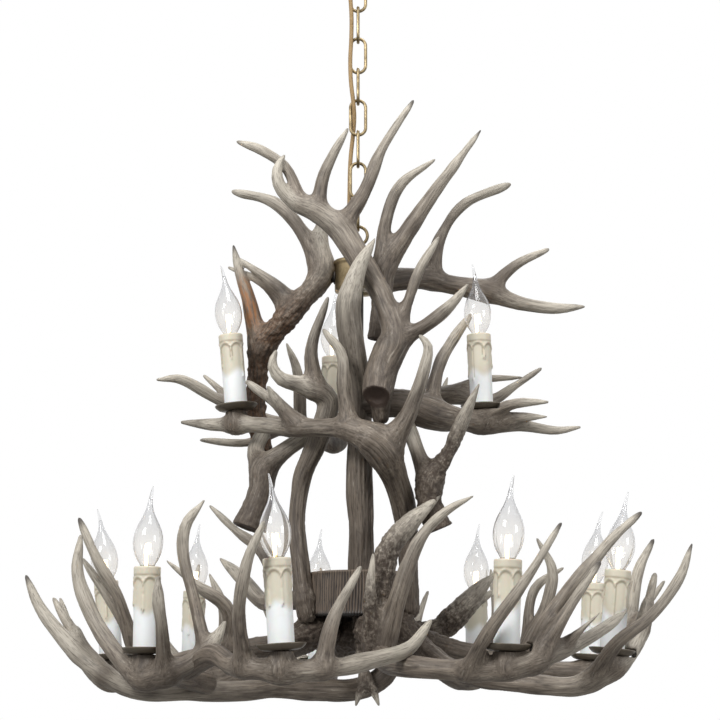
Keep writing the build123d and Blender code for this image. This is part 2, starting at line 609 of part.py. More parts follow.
# the lead is cut square at the middle of a run beside each chain joint
cord_cuts = {"cord_top": (0, 1), "cord_upper": (1, 2), "cord_run": (2, 9), "cord_lower": (9, 10),
             "cord_hub": (10, 12)}
cord_length = 0.0
for node, (first_run, last_run) in cord_cuts.items():
    start = route[0] if first_run == 0 else (route[first_run] + route[first_run + 1]) / 2
    end = route[-1] if last_run == len(route) - 2 else (route[last_run] + route[last_run + 1]) / 2
    corners = route[first_run + 1:last_run + 1]
    path = FilletPolyline(start, *corners, end, radius=radii[first_run:last_run])
    section = Plane(origin=start, z_dir=corners[0] - start) * RegularPolygon(cord_diameter / 2, cord_sides)
    cord = sweep(section, path=path)
    cord_length += path.length
    volume_ratio = cord.volume / (section.area * path.length)
    print(f"{node} length {path.length:.1f}, volume over section times length {volume_ratio:.4f}")
    save(cord, node)
print(f"lead length {cord_length:.0f}")
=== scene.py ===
"""Looks of a two-tier antler chandelier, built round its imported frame.

Lengths inside the classes are in millimetres, heights are counted up from the level of the lowest
antler as in the part's source, and `placed` turns them into the frame's metres below the ceiling.
"""

import logging
import math
from dataclasses import dataclass, field
from enum import Enum
from typing import Any, Iterable, Sequence

import bpy
import numpy as np
import openvdb as vdb
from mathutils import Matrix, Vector

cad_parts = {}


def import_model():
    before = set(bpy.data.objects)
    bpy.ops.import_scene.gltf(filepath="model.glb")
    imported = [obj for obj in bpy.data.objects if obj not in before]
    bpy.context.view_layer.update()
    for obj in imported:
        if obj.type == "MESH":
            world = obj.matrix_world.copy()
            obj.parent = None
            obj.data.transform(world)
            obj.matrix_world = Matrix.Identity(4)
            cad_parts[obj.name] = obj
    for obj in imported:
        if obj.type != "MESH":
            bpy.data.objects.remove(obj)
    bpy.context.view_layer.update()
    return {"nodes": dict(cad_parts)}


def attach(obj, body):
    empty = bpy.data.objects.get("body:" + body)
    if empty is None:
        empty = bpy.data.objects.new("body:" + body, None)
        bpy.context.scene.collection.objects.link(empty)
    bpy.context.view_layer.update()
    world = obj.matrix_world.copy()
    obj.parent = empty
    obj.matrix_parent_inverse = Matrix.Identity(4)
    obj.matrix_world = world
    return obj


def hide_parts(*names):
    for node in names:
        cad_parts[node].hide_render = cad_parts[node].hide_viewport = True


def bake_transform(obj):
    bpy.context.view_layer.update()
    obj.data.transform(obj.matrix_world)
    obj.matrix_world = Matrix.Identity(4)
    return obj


log = logging.getLogger("chandelier")

CEILING = 1010.0        # ceiling face above the lowest antler
LOWER = 64.0            # plates of the lower ring
UPPER = 374.0           # plates of the upper tier
HUB = 546.0             # middle of the upper hub
DRUM = 112.0            # underside of the drum
BURR_LEVEL = 98.0       # middle of the burrs bolted under the drum
FAR = 99.0              # a distance farther out than any limb is worked out

Array = np.ndarray
Material = bpy.types.Material
Piece = bpy.types.Object
Point = tuple[float, float, float]
Colour = tuple[float, float, float, float]
Knot = tuple[float, float, float, float]      # x, y, height and radius of a limb
Limb = Sequence[Knot]
Faces = list[tuple[int, ...]]
Shell = tuple[Array, Faces]

# each candle's place, plate height, sideways lean over its sleeve, and bend of its bulb's tip
CANDLES: dict[str, tuple[float, float, float, float, float]] = {
    "left": (-310, 40, LOWER, -9, -5),
    "front_left_outer": (-240, -190, LOWER, 0, 5),
    "back_left": (-227, 240, LOWER, 2, 4),
    "front_left": (-81, -311, LOWER, -6, -4),
    "back": (-56, 310, LOWER, 0, 4),
    "back_right": (161, 240, LOWER, 1, 5),
    "front_right": (160, -292, LOWER, 3, 5),
    "right_back": (297, 75, LOWER, 6, 8),
    "right": (293, -147, LOWER, 10, 5),
    "upper_left": (-154, 0, UPPER, -9, -5),
    "upper_right": (157, 0, UPPER, -3, -4),
    "upper_back": (-34, 150, UPPER, 0, 4),
}
BURRS: dict[str, tuple[float, float]] = {
    "right": (50, -22), "front_right": (16, -48), "right_back": (52, 16), "back_right": (28, 44),
    "back": (-10, 52), "back_left": (-42, 32), "left": (-54, -8),
}


def placed(points: Array) -> Array:
    """Millimetres above the lowest antler, as metres in the frame, whose ceiling is at zero."""
    return np.asarray(points, dtype=float) * 0.001 - [0.0, 0.0, CEILING * 0.001]


def unit(value: Array | float) -> Array:
    """Value held between 0 and 1."""
    return np.clip(value, 0.0, 1.0)


def step(low: float, high: float, value: Array | float) -> Array | float:
    """Smooth step from 0 where a value is `low` to 1 where it is `high`, which may be the smaller."""
    t = unit((value - low) / (high - low))
    return t * t * (3.0 - 2.0 * t)


def hump(value: Array, centre: Array | float, width: float) -> Array:
    """Bell curve, 1 at its centre."""
    return np.exp(-((value - centre) / width) ** 2)


def srgb(red: int, green: int, blue: int) -> Colour:
    """Linear colour, with an alpha of 1, of a display colour whose channels are 0 to 255."""
    shares = [channel / 255.0 for channel in (red, green, blue)]
    return (*[c / 12.92 if c <= 0.04045 else ((c + 0.055) / 1.055) ** 2.4 for c in shares], 1.0)


# ------------------------------------------------------------------ noise for shapes
def lattice(cell: Array, seed: int) -> Array:
    """Repeatable value from 0 to 1 at whole-number places.

    Args:
        cell: (n, 3) array of whole numbers.
        seed: chooses the pattern.

    Returns:
        (n,) array of values.
    """
    mixed = cell @ np.array([374761393, 668265263, 2147483647]) + seed * 974634777
    mixed = (mixed ^ (mixed >> 13)) * 1274126177
    mixed = mixed ^ (mixed >> 16)
    return (mixed & 0xFFFF) / 65535.0


def noise(places: Array, seed: int) -> Array:
    """Smooth value noise.

    Args:
        places: (n, 3) array, one lattice cell a unit.
        seed: chooses the pattern.

    Returns:
        (n,) array from 0 to 1.
    """
    base = np.floor(places).astype(np.int64)
    part = places - base
    part = part * part * (3.0 - 2.0 * part)
    total = np.zeros(len(places))
    for corner in range(8):
        offset = np.array([corner & 1, corner >> 1 & 1, corner >> 2 & 1])
        weight = np.prod(np.where(offset == 1, part, 1.0 - part), axis=1)
        total += weight * lattice(base + offset, seed)
    return total


def furrows(places: Array, seed: int) -> Array:
    """Sharp-bottomed furrows where the noise crosses its middle.

    Args:
        places: (n, 3) array, one lattice cell a unit.
        seed: chooses the pattern.

    Returns:
        (n,) array, 1 in the bottom of a furrow and 0 on the ridges.
    """
    broad = 1.0 - np.abs(2.0 * noise(places, seed) - 1.0)
    narrow = 1.0 - np.abs(2.0 * noise(places * 2.1 + 5.3, seed + 1) - 1.0)
    return unit(0.65 * broad ** 4 + 0.35 * narrow ** 4)


# ------------------------------------------------------------------ node trees
class Socket:
    """A node's output socket that takes part in Python expressions."""

    def __init__(self, tree: "Tree", output: Any) -> None:
        """Keeps the tree and the socket."""
        self.tree = tree
        self.output = output

    def maths(self, operation: str, *values: Any) -> "Socket":
        """Result of a Math node with these inputs, sockets or numbers."""
        return self.tree.node("ShaderNodeMath", {"operation": operation}, dict(enumerate(values)))

    def __add__(self, other: Any) -> "Socket":
        """Sum."""
        return self.maths("ADD", self, other)

    __radd__ = __add__

    def __sub__(self, other: Any) -> "Socket":
        """Difference."""
        return self.maths("SUBTRACT", self, other)

    def __rsub__(self, other: Any) -> "Socket":
        """Difference from a number."""
        return self.maths("SUBTRACT", other, self)

    def __mul__(self, other: Any) -> "Socket":
        """Product."""
        return self.maths("MULTIPLY", self, other)

    __rmul__ = __mul__

    def __pow__(self, other: Any) -> "Socket":
        """Power."""
        return self.maths("POWER", self, other)

    def between(self, low: float, high: float) -> "Socket":
        """Smooth step from 0 at `low` to 1 at `high`."""
        return self.tree.node("ShaderNodeMapRange", {"interpolation_type": "SMOOTHSTEP"},
                              {"Value": self, "From Min": low, "From Max": high})


class Tree:
    """Builder for a shader tree or a geometry tree."""

    def __init__(self, tree: bpy.types.NodeTree) -> None:
        """Keeps the tree and empties it."""
        self.tree = tree
        self.tree.nodes.clear()

    def node(self, kind: str, settings: dict[str, Any] | None = None,
             sockets: dict[str | int, Any] | None = None, out: str | int = 0) -> Socket:
        """Adds one node.

        Args:
            kind: the node's type.
            settings: its properties, set first; "stops" gives a ramp's (place, colour) pairs.
            sockets: values or links of its inputs, by name or place.
            out: the output that is returned, by name or place.

        Returns:
            That output, which is empty where the node has none.
        """
        made = self.tree.nodes.new(kind)
        for name, value in (settings or {}).items():
            if name == "stops":
                ramp = made.color_ramp.elements
                while len(ramp) < len(value):
                    ramp.new(0.5)
                for element, (place, colour) in zip(ramp, value):
                    element.position = place
                    element.color = colour
            else:
                setattr(made, name, value)
        for name, value in (sockets or {}).items():
            entry = made.inputs[name]
            if isinstance(value, Socket):
                self.tree.links.new(value.output, entry)
            else:
                entry.default_value = value
        outputs = [o for o in made.outputs if o.enabled]
        if isinstance(out, str):
            return Socket(self, made.outputs[out])
        return Socket(self, outputs[out] if outputs else None)


class Paint(Tree):
    """Shader tree of one finish."""

    def __init__(self, name: str) -> None:
        """Starts an empty material of this name."""
        self.material = bpy.data.materials.new(name)
        self.material.use_nodes = True
        super().__init__(self.material.node_tree)
        self.place = self.node("ShaderNodeTexCoord", out="Object")

    def attribute(self, name: str) -> list[Socket]:
        """A vector attribute of the mesh, and its three numbers."""
        vector = self.node("ShaderNodeAttribute", {"attribute_name": name}, out="Vector")
        return [vector, *self.parts(vector)]

    def parts(self, vector: Socket) -> list[Socket]:
        """The three numbers of a vector."""
        return [self.node("ShaderNodeSeparateXYZ", {}, {0: vector}, out=axis) for axis in range(3)]

    def stretched(self, vector: Socket, x: float, y: float, z: float) -> Socket:
        """Vector with its axes scaled."""
        return self.node("ShaderNodeMapping", {}, {"Vector": vector, "Scale": (x, y, z)})

    def grain(self, vector: Socket, scale: float, detail: float = 3.0, rough: float = 0.55) -> Socket:
        """Noise round 0.5, with so many cells a unit, octaves and share of the finer octaves."""
        return self.node("ShaderNodeTexNoise", {}, {"Vector": vector, "Scale": scale, "Detail": detail,
                                                    "Roughness": rough})

    def mixed(self, factor: Any, low: Any, high: Any) -> Socket:
        """Colour between two colours or sockets, the second where the factor is 1."""
        return self.node("ShaderNodeMix", {"data_type": "RGBA"}, {0: factor, 6: low, 7: high})

    def surface(self, **sockets: Any) -> Socket:
        """Principled shader; underscores in the names stand for spaces."""
        named = {name.replace("_", " "): value for name, value in sockets.items()}
        return self.node("ShaderNodeBsdfPrincipled", {}, named)

    def closed(self, shader: Socket) -> Material:
        """Links the shader to the output and hands back the material."""
        self.node("ShaderNodeOutputMaterial", {}, {"Surface": shader})
        return self.material

    def finished(self, colour: Socket, rough: Socket, height: Socket, relief: tuple[float, float],
                 **sockets: Any) -> Material:
        """Closes the tree with one Principled shader whose normal is bent by a height.

        Args:
            colour: its base colour.
            rough: its roughness.
            height: the height, 0 to 1.
            relief: metres from the lowest to the highest, and the share of it that is used.
            sockets: further inputs, as `surface` takes them.

        Returns:
            The material.
        """
        bump = self.node("ShaderNodeBump", {},
                         {"Height": height, "Distance": relief[0], "Strength": relief[1]})
        return self.closed(self.surface(Base_Color=colour, Roughness=rough, Normal=bump, **sockets))


# ------------------------------------------------------------------ finishes
@dataclass(frozen=True)
class AntlerFinish:
    """Weathered antler: long dark streaks, crusty pearled bases, bleached tips, and painted shade in its
    furrows and pearl pits.
    """

    trunk: Colour = srgb(102, 91, 79)
    palm: Colour = srgb(130, 119, 106)
    bleached: Colour = srgb(198, 191, 177)
    streak: Colour = srgb(50, 41, 34)
    crust: Colour = srgb(56, 44, 34)
    amber: Colour = srgb(150, 97, 48)
    burnt: Colour = srgb(52, 46, 41)
    sawn: Colour = srgb(58, 45, 37)

    def material(self) -> Material:
        """Builds the material from the mesh's grain, wear-and-shade and stain attributes, coarse to fine;
        painted shade darkens furrow bottoms and pearl pits.
        """
        paint = Paint("weathered_antler")
        grain = paint.attribute("grain")[0]
        _, age, crust, crevice_shade = paint.attribute("wear")
        _, warm, dark_tip, sawn = paint.attribute("stain")
        strokes = paint.grain(paint.stretched(grain, 1.0, 1.0, 0.07), 4.4, 5.0, 0.66)
        hairs = paint.grain(paint.stretched(grain, 1.0, 1.0, 0.05), 9.0, 2.0, 0.5)
        clouds = paint.grain(paint.place, 16.0, 3.0)
        pits = paint.grain(paint.place, 260.0, 2.0)
        body = paint.mixed(age.between(0.05, 0.55), self.trunk, self.palm)
        for share, colour in (
                (age.between(0.45, 1.0) * 0.85 + (clouds - 0.5) * 0.5, self.bleached),
                (strokes.between(0.50, 0.64) * (1.0 - age * 0.55) * 0.68, self.streak),
                (hairs.between(0.48, 0.68) * 0.50, self.streak),
                (strokes.between(0.44, 0.30) * 0.45, self.bleached),
                # painted shade: furrow bottoms and the pits between pearls darkened in the streak colour
                (crevice_shade * 0.95, self.streak),
                (clouds.between(0.50, 0.68) * 0.48, self.crust),
                (crust * pits.between(0.40, 0.58) * 0.85, self.crust),
                (warm * strokes.between(0.62, 0.40) * 0.85, self.amber),
                (dark_tip, self.burnt),
                (sawn, self.sawn)):
            body = paint.mixed(share, body, colour)
        height = strokes * (0.62 - age * 0.4) + hairs * (0.2 - age * 0.2) + pits * crust
        rough = 0.50 + strokes * 0.22 + crust * 0.15
        return paint.finished(body, rough, height, (0.0016, 0.8))


@dataclass(frozen=True)
class MetalFinish:
    """Metal with patina in blotches and fine turning marks."""

    name: str
    bright: Colour
    patina: Colour
    cover: float = 0.5
    polish: float = 0.34
    metallic: float = 1.0

    def material(self) -> Material:
        """Builds the material on object coordinates."""
        paint = Paint(self.name)
        blotch = paint.grain(paint.place, 70.0, 5.0, 0.62)
        fine = paint.grain(paint.stretched(paint.place, 1.0, 1.0, 6.0), 420.0, 2.0)
        mask = blotch.between(0.62 - 0.3 * self.cover, 0.70) * self.cover
        colour = paint.mixed(mask + fine.between(0.5, 0.7) * 0.12, self.bright, self.patina)
        rough = self.polish + mask * 0.3 + fine * 0.08
        return paint.finished(colour, rough, blotch * 0.5 + fine * 0.3, (0.0002, 0.5), Metallic=self.metallic)


@dataclass(frozen=True)
class WaxFinish:
    """Candle sleeve: cream wax drips over a smooth white tube, with painted shade under the wax lips and
    along the drips.
    """

    cream: Colour = srgb(208, 201, 182)
    lip_shade: Colour = srgb(140, 126, 102)
    white: Colour = srgb(240, 240, 240)

    def material(self) -> Material:
        """Builds the material from the mesh's coat attribute, whose second value is painted shade."""
        paint = Paint("dripped_wax")
        _, coat, edge, _ = paint.attribute("coat")
        cloud = paint.grain(paint.place, 120.0, 3.0)
        body = paint.mixed(coat + (cloud - 0.5) * 0.25, self.white, self.cream)
        # painted shade under the wax lips and along the drips' edges
        body = paint.mixed(edge * 0.75, body, self.lip_shade)
        return paint.finished(body, 0.42 + cloud * 0.12, cloud, (0.0003, 0.4),
                              Subsurface_Weight=0.12, Subsurface_Scale=0.004)


@dataclass(frozen=True)
class GlassFinish:
    """Thin clear lamp glass with a painted glow round its filament, where the glass itself gives off warm
    light.
    """

    rim: Colour = srgb(150, 152, 158)
    light: Colour = (1.0, 0.80, 0.50, 1.0)
    index: float = 1.36               # lower than glass has, for a wall this thin

    def material(self) -> Material:
        """Builds the material from the mesh's glow attribute."""
        paint = Paint("clear_lamp_glass")
        _, glow, _, _ = paint.attribute("glow")
        # painted glow: the glass gives off warm light near the filament, standing in for its halo
        warm = paint.mixed(glow, (0.0, 0.0, 0.0, 1.0), self.light)
        waves = paint.grain(paint.place, 60.0, 1.0)
        clear = paint.surface(Base_Color=(1.0, 1.0, 1.0, 1.0), Roughness=0.02 + waves * 0.02, IOR=self.index,
                              Transmission_Weight=1.0, Emission_Color=warm, Emission_Strength=0.17)
        tint = paint.surface(Base_Color=self.rim, Roughness=0.12, Specular_IOR_Level=0.8)
        facing = paint.node("ShaderNodeLayerWeight", {}, {"Blend": 0.30}, out="Facing")
        edge = facing ** 2.6 * 0.85 + 0.11 - glow * 0.10
        return paint.closed(paint.node("ShaderNodeMixShader", {}, {0: edge, 1: clear, 2: tint}))


@dataclass(frozen=True)
class GlowFinish:
    """Lit filament, hotter towards its middle."""

    cool: Colour = (1.0, 0.70, 0.36, 1.0)
    hot: Colour = (1.0, 0.90, 0.68, 1.0)
    strength: float = 3.0

    def material(self) -> Material:
        """Builds the material on object coordinates."""
        paint = Paint("lit_filament")
        heat = paint.grain(paint.place, 300.0, 1.0)
        colour = paint.mixed(heat.between(0.3, 0.7), self.cool, self.hot)
        return paint.closed(paint.surface(Base_Color=colour, Roughness=0.5, Emission_Color=colour,
                                          Emission_Strength=self.strength))


@dataclass(frozen=True)
class PlainFinish:
    """Moulded, painted or plastered surface with faint mottling."""

    name: str
    colour: Colour
    shade: Colour
    roughness: float = 0.5
    scale: float = 90.0
    relief: float = 0.0002

    def material(self) -> Material:
        """Builds the material on object coordinates."""
        paint = Paint(self.name)
        mottle = paint.grain(paint.place, self.scale, 4.0, 0.6)
        body = paint.mixed(mottle.between(0.40, 0.66), self.colour, self.shade)
        rough = self.roughness + (mottle - 0.5) * 0.2
        return paint.finished(body, rough, mottle, (self.relief, 0.6))


@dataclass(frozen=True)
class BarkFinish:
    """Resin drum cast with bark-like furrows, dark in their bottoms and glossy black below."""

    ridge: Colour = srgb(112, 98, 84)
    furrow: Colour = srgb(30, 23, 18)
    gloss: Colour = srgb(24, 21, 19)

    def material(self) -> Material:
        """Builds the material from the mesh's bark attribute."""
        paint = Paint("bark_resin")
        _, depth, under, _ = paint.attribute("bark")
        fibre = paint.grain(paint.stretched(paint.place, 1.0, 1.0, 0.15), 420.0, 3.0)
        body = paint.mixed(depth * 1.15 + (fibre - 0.5) * 0.7, self.ridge, self.furrow)
        body = paint.mixed(under, body, self.gloss)
        rough = 0.62 - under * 0.38 + (fibre - 0.5) * 0.1
        return paint.finished(body, rough, fibre, (0.0006, 0.7))


@dataclass(frozen=True)
class BraidFinish:
    """Woven sleeve of a lamp lead: two crossing sets of threads."""

    thread: Colour = srgb(186, 158, 112)
    shade: Colour = srgb(128, 100, 62)
    threads: float = 8.0              # each way round the lead
    pitch: float = 2.4                # radians of a thread's wave a millimetre along

    def material(self) -> Material:
        """Builds the material on the tube's own UV map, once round by millimetres along."""
        paint = Paint("woven_lead")
        uv = paint.node("ShaderNodeUVMap", {"uv_map": "around"})
        across, along, _ = paint.parts(uv)
        around, slope = across * (math.tau * self.threads), along * self.pitch
        left = uv.maths("SINE", around + slope)
        right = uv.maths("SINE", around - slope)
        weave = left * right * 0.5 + 0.5
        cloud = paint.grain(paint.place, 80.0, 2.0)
        body = paint.mixed(weave * 0.7 + (cloud - 0.5) * 0.4, self.shade, self.thread)
        return paint.finished(body, 0.55 + (cloud - 0.5) * 0.2, weave, (0.0004, 0.8))


# ------------------------------------------------------------------ meshes
def linked(name: str, data: Any) -> Piece:
    """Puts an object into the scene.

    Args:
        name: the object's name.
        data: the mesh, curve, lamp or camera that it holds.

    Returns:
        The object.
    """
    made = bpy.data.objects.new(name, data)
    bpy.context.collection.objects.link(made)
    return made


def solved(maker: Piece) -> bpy.types.Mesh:
    """Takes the mesh that an object's curve or modifiers come to.

    Args:
        maker: the object, which is removed.

    Returns:
        The mesh.
    """
    bpy.context.view_layer.update()
    mesh = bpy.data.meshes.new_from_object(maker.evaluated_get(bpy.context.evaluated_depsgraph_get()))
    bpy.data.objects.remove(maker)
    return mesh


def declare(piece: Piece, body: str, slot: str, *nodes: str) -> None:
    """Hangs a piece on its body and hides the nodes that it stands in for.

    Args:
        piece: the object.
        body: the body that it rides on.
        slot: not used.
        nodes: the nodes that it stands in for.
    """
    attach(piece, body)
    if nodes:
        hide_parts(*nodes)


def smooth_piece(name: str, verts: Array, faces: Iterable[Sequence[int]], material: Material) -> Piece:
    """Makes a smooth-shaded object whose place is in its mesh.

    Args:
        name: the object's name.
        verts: (n, 3) array in metres in the frame.
        faces: corner numbers of each face.
        material: its finish.

    Returns:
        The linked object.
    """
    mesh = bpy.data.meshes.new(name)
    mesh.from_pydata(verts.tolist(), [], [list(face) for face in faces])
    mesh.polygons.foreach_set("use_smooth", [True] * len(mesh.polygons))
    mesh.materials.append(material)
    mesh.update()
    log.info("%s: %d faces", name, len(mesh.polygons))
    return linked(name, mesh)


def store(piece: Piece, name: str, values: Array) -> None:
    """Writes an (n, 3) array as a vector attribute on the points of a mesh."""
    layer = piece.data.attributes.new(name, "FLOAT_VECTOR", "POINT")
    layer.data.foreach_set("vector", np.asarray(values, dtype=np.float32).ravel())


def angles(sides: int) -> Array:
    """Equal steps once round an axis."""
    return np.arange(sides) * math.tau / sides


def circle(radius: Array | float, angle: Array, height: float) -> Array:
    """Points round the vertical axis, one for each angle."""
    return np.column_stack([radius * np.cos(angle), radius * np.sin(angle), np.full(len(angle), height)])


def ring_faces(rows: int, sides: int, closed: bool) -> Faces:
    """Faces between rows of points round an axis, outwards where the rows go up.

    Args:
        rows: number of rows.
        sides: points in a row.
        closed: whether the last row joins the first.

    Returns:
        The quads.
    """
    faces = []
    for row in range(rows if closed else rows - 1):
        low, high = row * sides, (row + 1) % rows * sides
        for i in range(sides):
            j = (i + 1) % sides
            faces.append((low + i, low + j, high + j, high + i))
    return faces


def poled_faces(rows: int, sides: int) -> Faces:
    """Faces of a skin that is closed by a pole at each end.

    Args:
        rows: number of rows.
        sides: points in a row.

    Returns:
        Outward faces of the rows' points with the lower and then the upper pole after them.
    """
    faces = ring_faces(rows, sides, False)
    bottom, top, last = rows * sides, rows * sides + 1, (rows - 1) * sides
    for i in range(sides):
        j = (i + 1) % sides
        faces += [(bottom, j, i), (top, last + i, last + j)]
    return faces


@dataclass
class Batch:
    """Points and faces of several shells that end up in one mesh."""

    verts: list[Array] = field(default_factory=list)
    faces: Faces = field(default_factory=list)
    extra: list[Array] = field(default_factory=list)
    count: int = 0

    def add(self, verts: Array, faces: Iterable[Sequence[int]], extra: Array | None = None) -> None:
        """Adds a shell.

        Args:
            verts: (n, 3) array in millimetres.
            faces: its faces.
            extra: (n, 3) attribute values.
        """
        self.verts.append(verts)
        self.faces.extend(tuple(corner + self.count for corner in face) for face in faces)
        self.extra.append(np.zeros((len(verts), 3)) if extra is None else extra)
        self.count += len(verts)

    @classmethod
    def of(cls, *shells: Shell) -> "Batch":
        """Makes a batch.

        Args:
            shells: what it holds.

        Returns:
            The batch.
        """
        batch = cls()
        for verts, faces in shells:
            batch.add(verts, faces)
        return batch

    def stand(self, candle: str, verts: Array, faces: Faces, extra: Array | None = None) -> None:
        """Adds a shell that was made upright on the origin, on a candle's plate."""
        self.add(leaned(verts, candle), faces, extra)

    def dress(self, name: str, material: Material, body: str, slot: str, *nodes: str,
              attribute: str | None = None) -> None:
        """Args:
            name: its name.
            material: its finish.
            body: the body that it rides on.
            slot: name of a material slot, not used.
            nodes: the nodes that it stands in for.
            attribute: name that the extra values are stored under.
        """
        made = smooth_piece(name, placed(np.vstack(self.verts)), self.faces, material)
        if attribute:
            store(made, attribute, np.vstack(self.extra))
        declare(made, body, slot, *nodes)


def lathe(profile: Sequence[tuple[float, float]], sides: int) -> Shell:
    """Closed solid turned about the vertical axis.

    Args:
        profile: (radius, height) points up the outside and, where it has a bore, down the inside;
            it closes on itself, or at both ends on the axis where it starts at radius 0.
        sides: points round the axis.

    Returns:
        Points and outward faces.
    """
    rows = [circle(radius, angles(sides), height) for radius, height in profile]
    if profile[0][0] > 0.0:
        return np.vstack(rows), ring_faces(len(rows), sides, True)
    poles = [[0.0, 0.0, profile[0][1]], [0.0, 0.0, profile[-1][1]]]
    return np.vstack([*rows[1:-1], poles]), poled_faces(len(rows) - 2, sides)


def frames_along(line: Array) -> tuple[Array, Array, Array]:
    """Tangents and two side axes that turn as little as possible along a line.

    Args:
        line: (n, 3) points.

    Returns:
        Tangents, first sides and second sides, each (n, 3).
    """
    tangent = np.gradient(line, axis=0)
    tangent /= np.linalg.norm(tangent, axis=1)[:, None]
    side = np.zeros_like(line)
    reference = np.array([0.0, 0.0, 1.0]) if abs(tangent[0, 2]) < 0.8 else np.array([1.0, 0.0, 0.0])
    for i, way in enumerate(tangent):
        reference = reference - way * reference.dot(way)
        reference /= np.linalg.norm(reference)
        side[i] = reference
    return tangent, side, np.cross(tangent, side)


def tube(line: Array, radius: Array | float, sides: int, closed: bool = False) -> Shell:
    """Round bar along a line, capped at its ends.

    Args:
        line: (n, 3) points.
        radius: one radius, or one for each point.
        sides: points round the bar.
        closed: whether it is a flat ring, whose last point joins its first.

    Returns:
        Points and outward faces.
    """
    if closed:
        tangent = frames_along(np.vstack([line[-1:], line, line[:1]]))[0][1:-1]
        across = np.cross(line[1] - line[0], line[2] - line[1])
        side = np.tile(across / np.linalg.norm(across), (len(line), 1))
        other = np.cross(tangent, side)
    else:
        _, side, other = frames_along(line)
    angle = angles(sides)
    wide = np.broadcast_to(np.asarray(radius, dtype=float), (len(line),))
    across, up = np.cos(angle)[None, :, None], np.sin(angle)[None, :, None]
    ring = side[:, None, :] * across + other[:, None, :] * up
    verts = (line[:, None, :] + ring * wide[:, None, None]).reshape(-1, 3)
    faces = ring_faces(len(line), sides, closed)
    if not closed:
        faces.append(tuple(reversed(range(sides))))
        faces.append(tuple(range((len(line) - 1) * sides, len(line) * sides)))
    return verts, faces


def leaned(verts: Array, name: str) -> Array:
    """Stands points made upright on the origin on a candle's plate, with its lean.

    Args:
        verts: (n, 3) array in millimetres.
        name: the candle.

    Returns:
        The moved points.
    """
    x, y, height, lean, _ = CANDLES[name]
    tilt = math.atan2(lean, Candles.sleeve_length)
    c, s = math.cos(tilt), math.sin(tilt)
    across, deep, up = verts.T
    return np.column_stack([across * c + up * s, deep, up * c - across * s]) + [x, y, height]


# ------------------------------------------------------------------ antlers
class Seat(Enum):
    """How the lower end of an antler is finished."""

    BURR = "pearled burr, bolted up under the drum"
    SAWN = "sawn square, its dark core showing"
    FOOT = "hidden in what carries it"


def under(name: str, drop: float, radius: float) -> Knot:
    """Point of a beam under a candle, its height counted from the plate's level."""
    return (*CANDLES[name][:2], -drop, radius)


def burr(name: str, radius: float) -> Knot:
    """First point of an antler that is bolted up under the drum."""
    return (*BURRS[name], BURR_LEVEL - LOWER, radius)


def box(low: Sequence[int], high: Sequence[int]) -> tuple[slice, ...]:
    """Part of a grid between two corners."""
    return tuple(slice(a, b) for a, b in zip(low, high))


class Kind(Enum):
    """What a limb is on its antler."""

    BEAM = "beam"
    TINE = "tine"
    STUB = "stub that a plate stands on, or that ends in a saw cut"


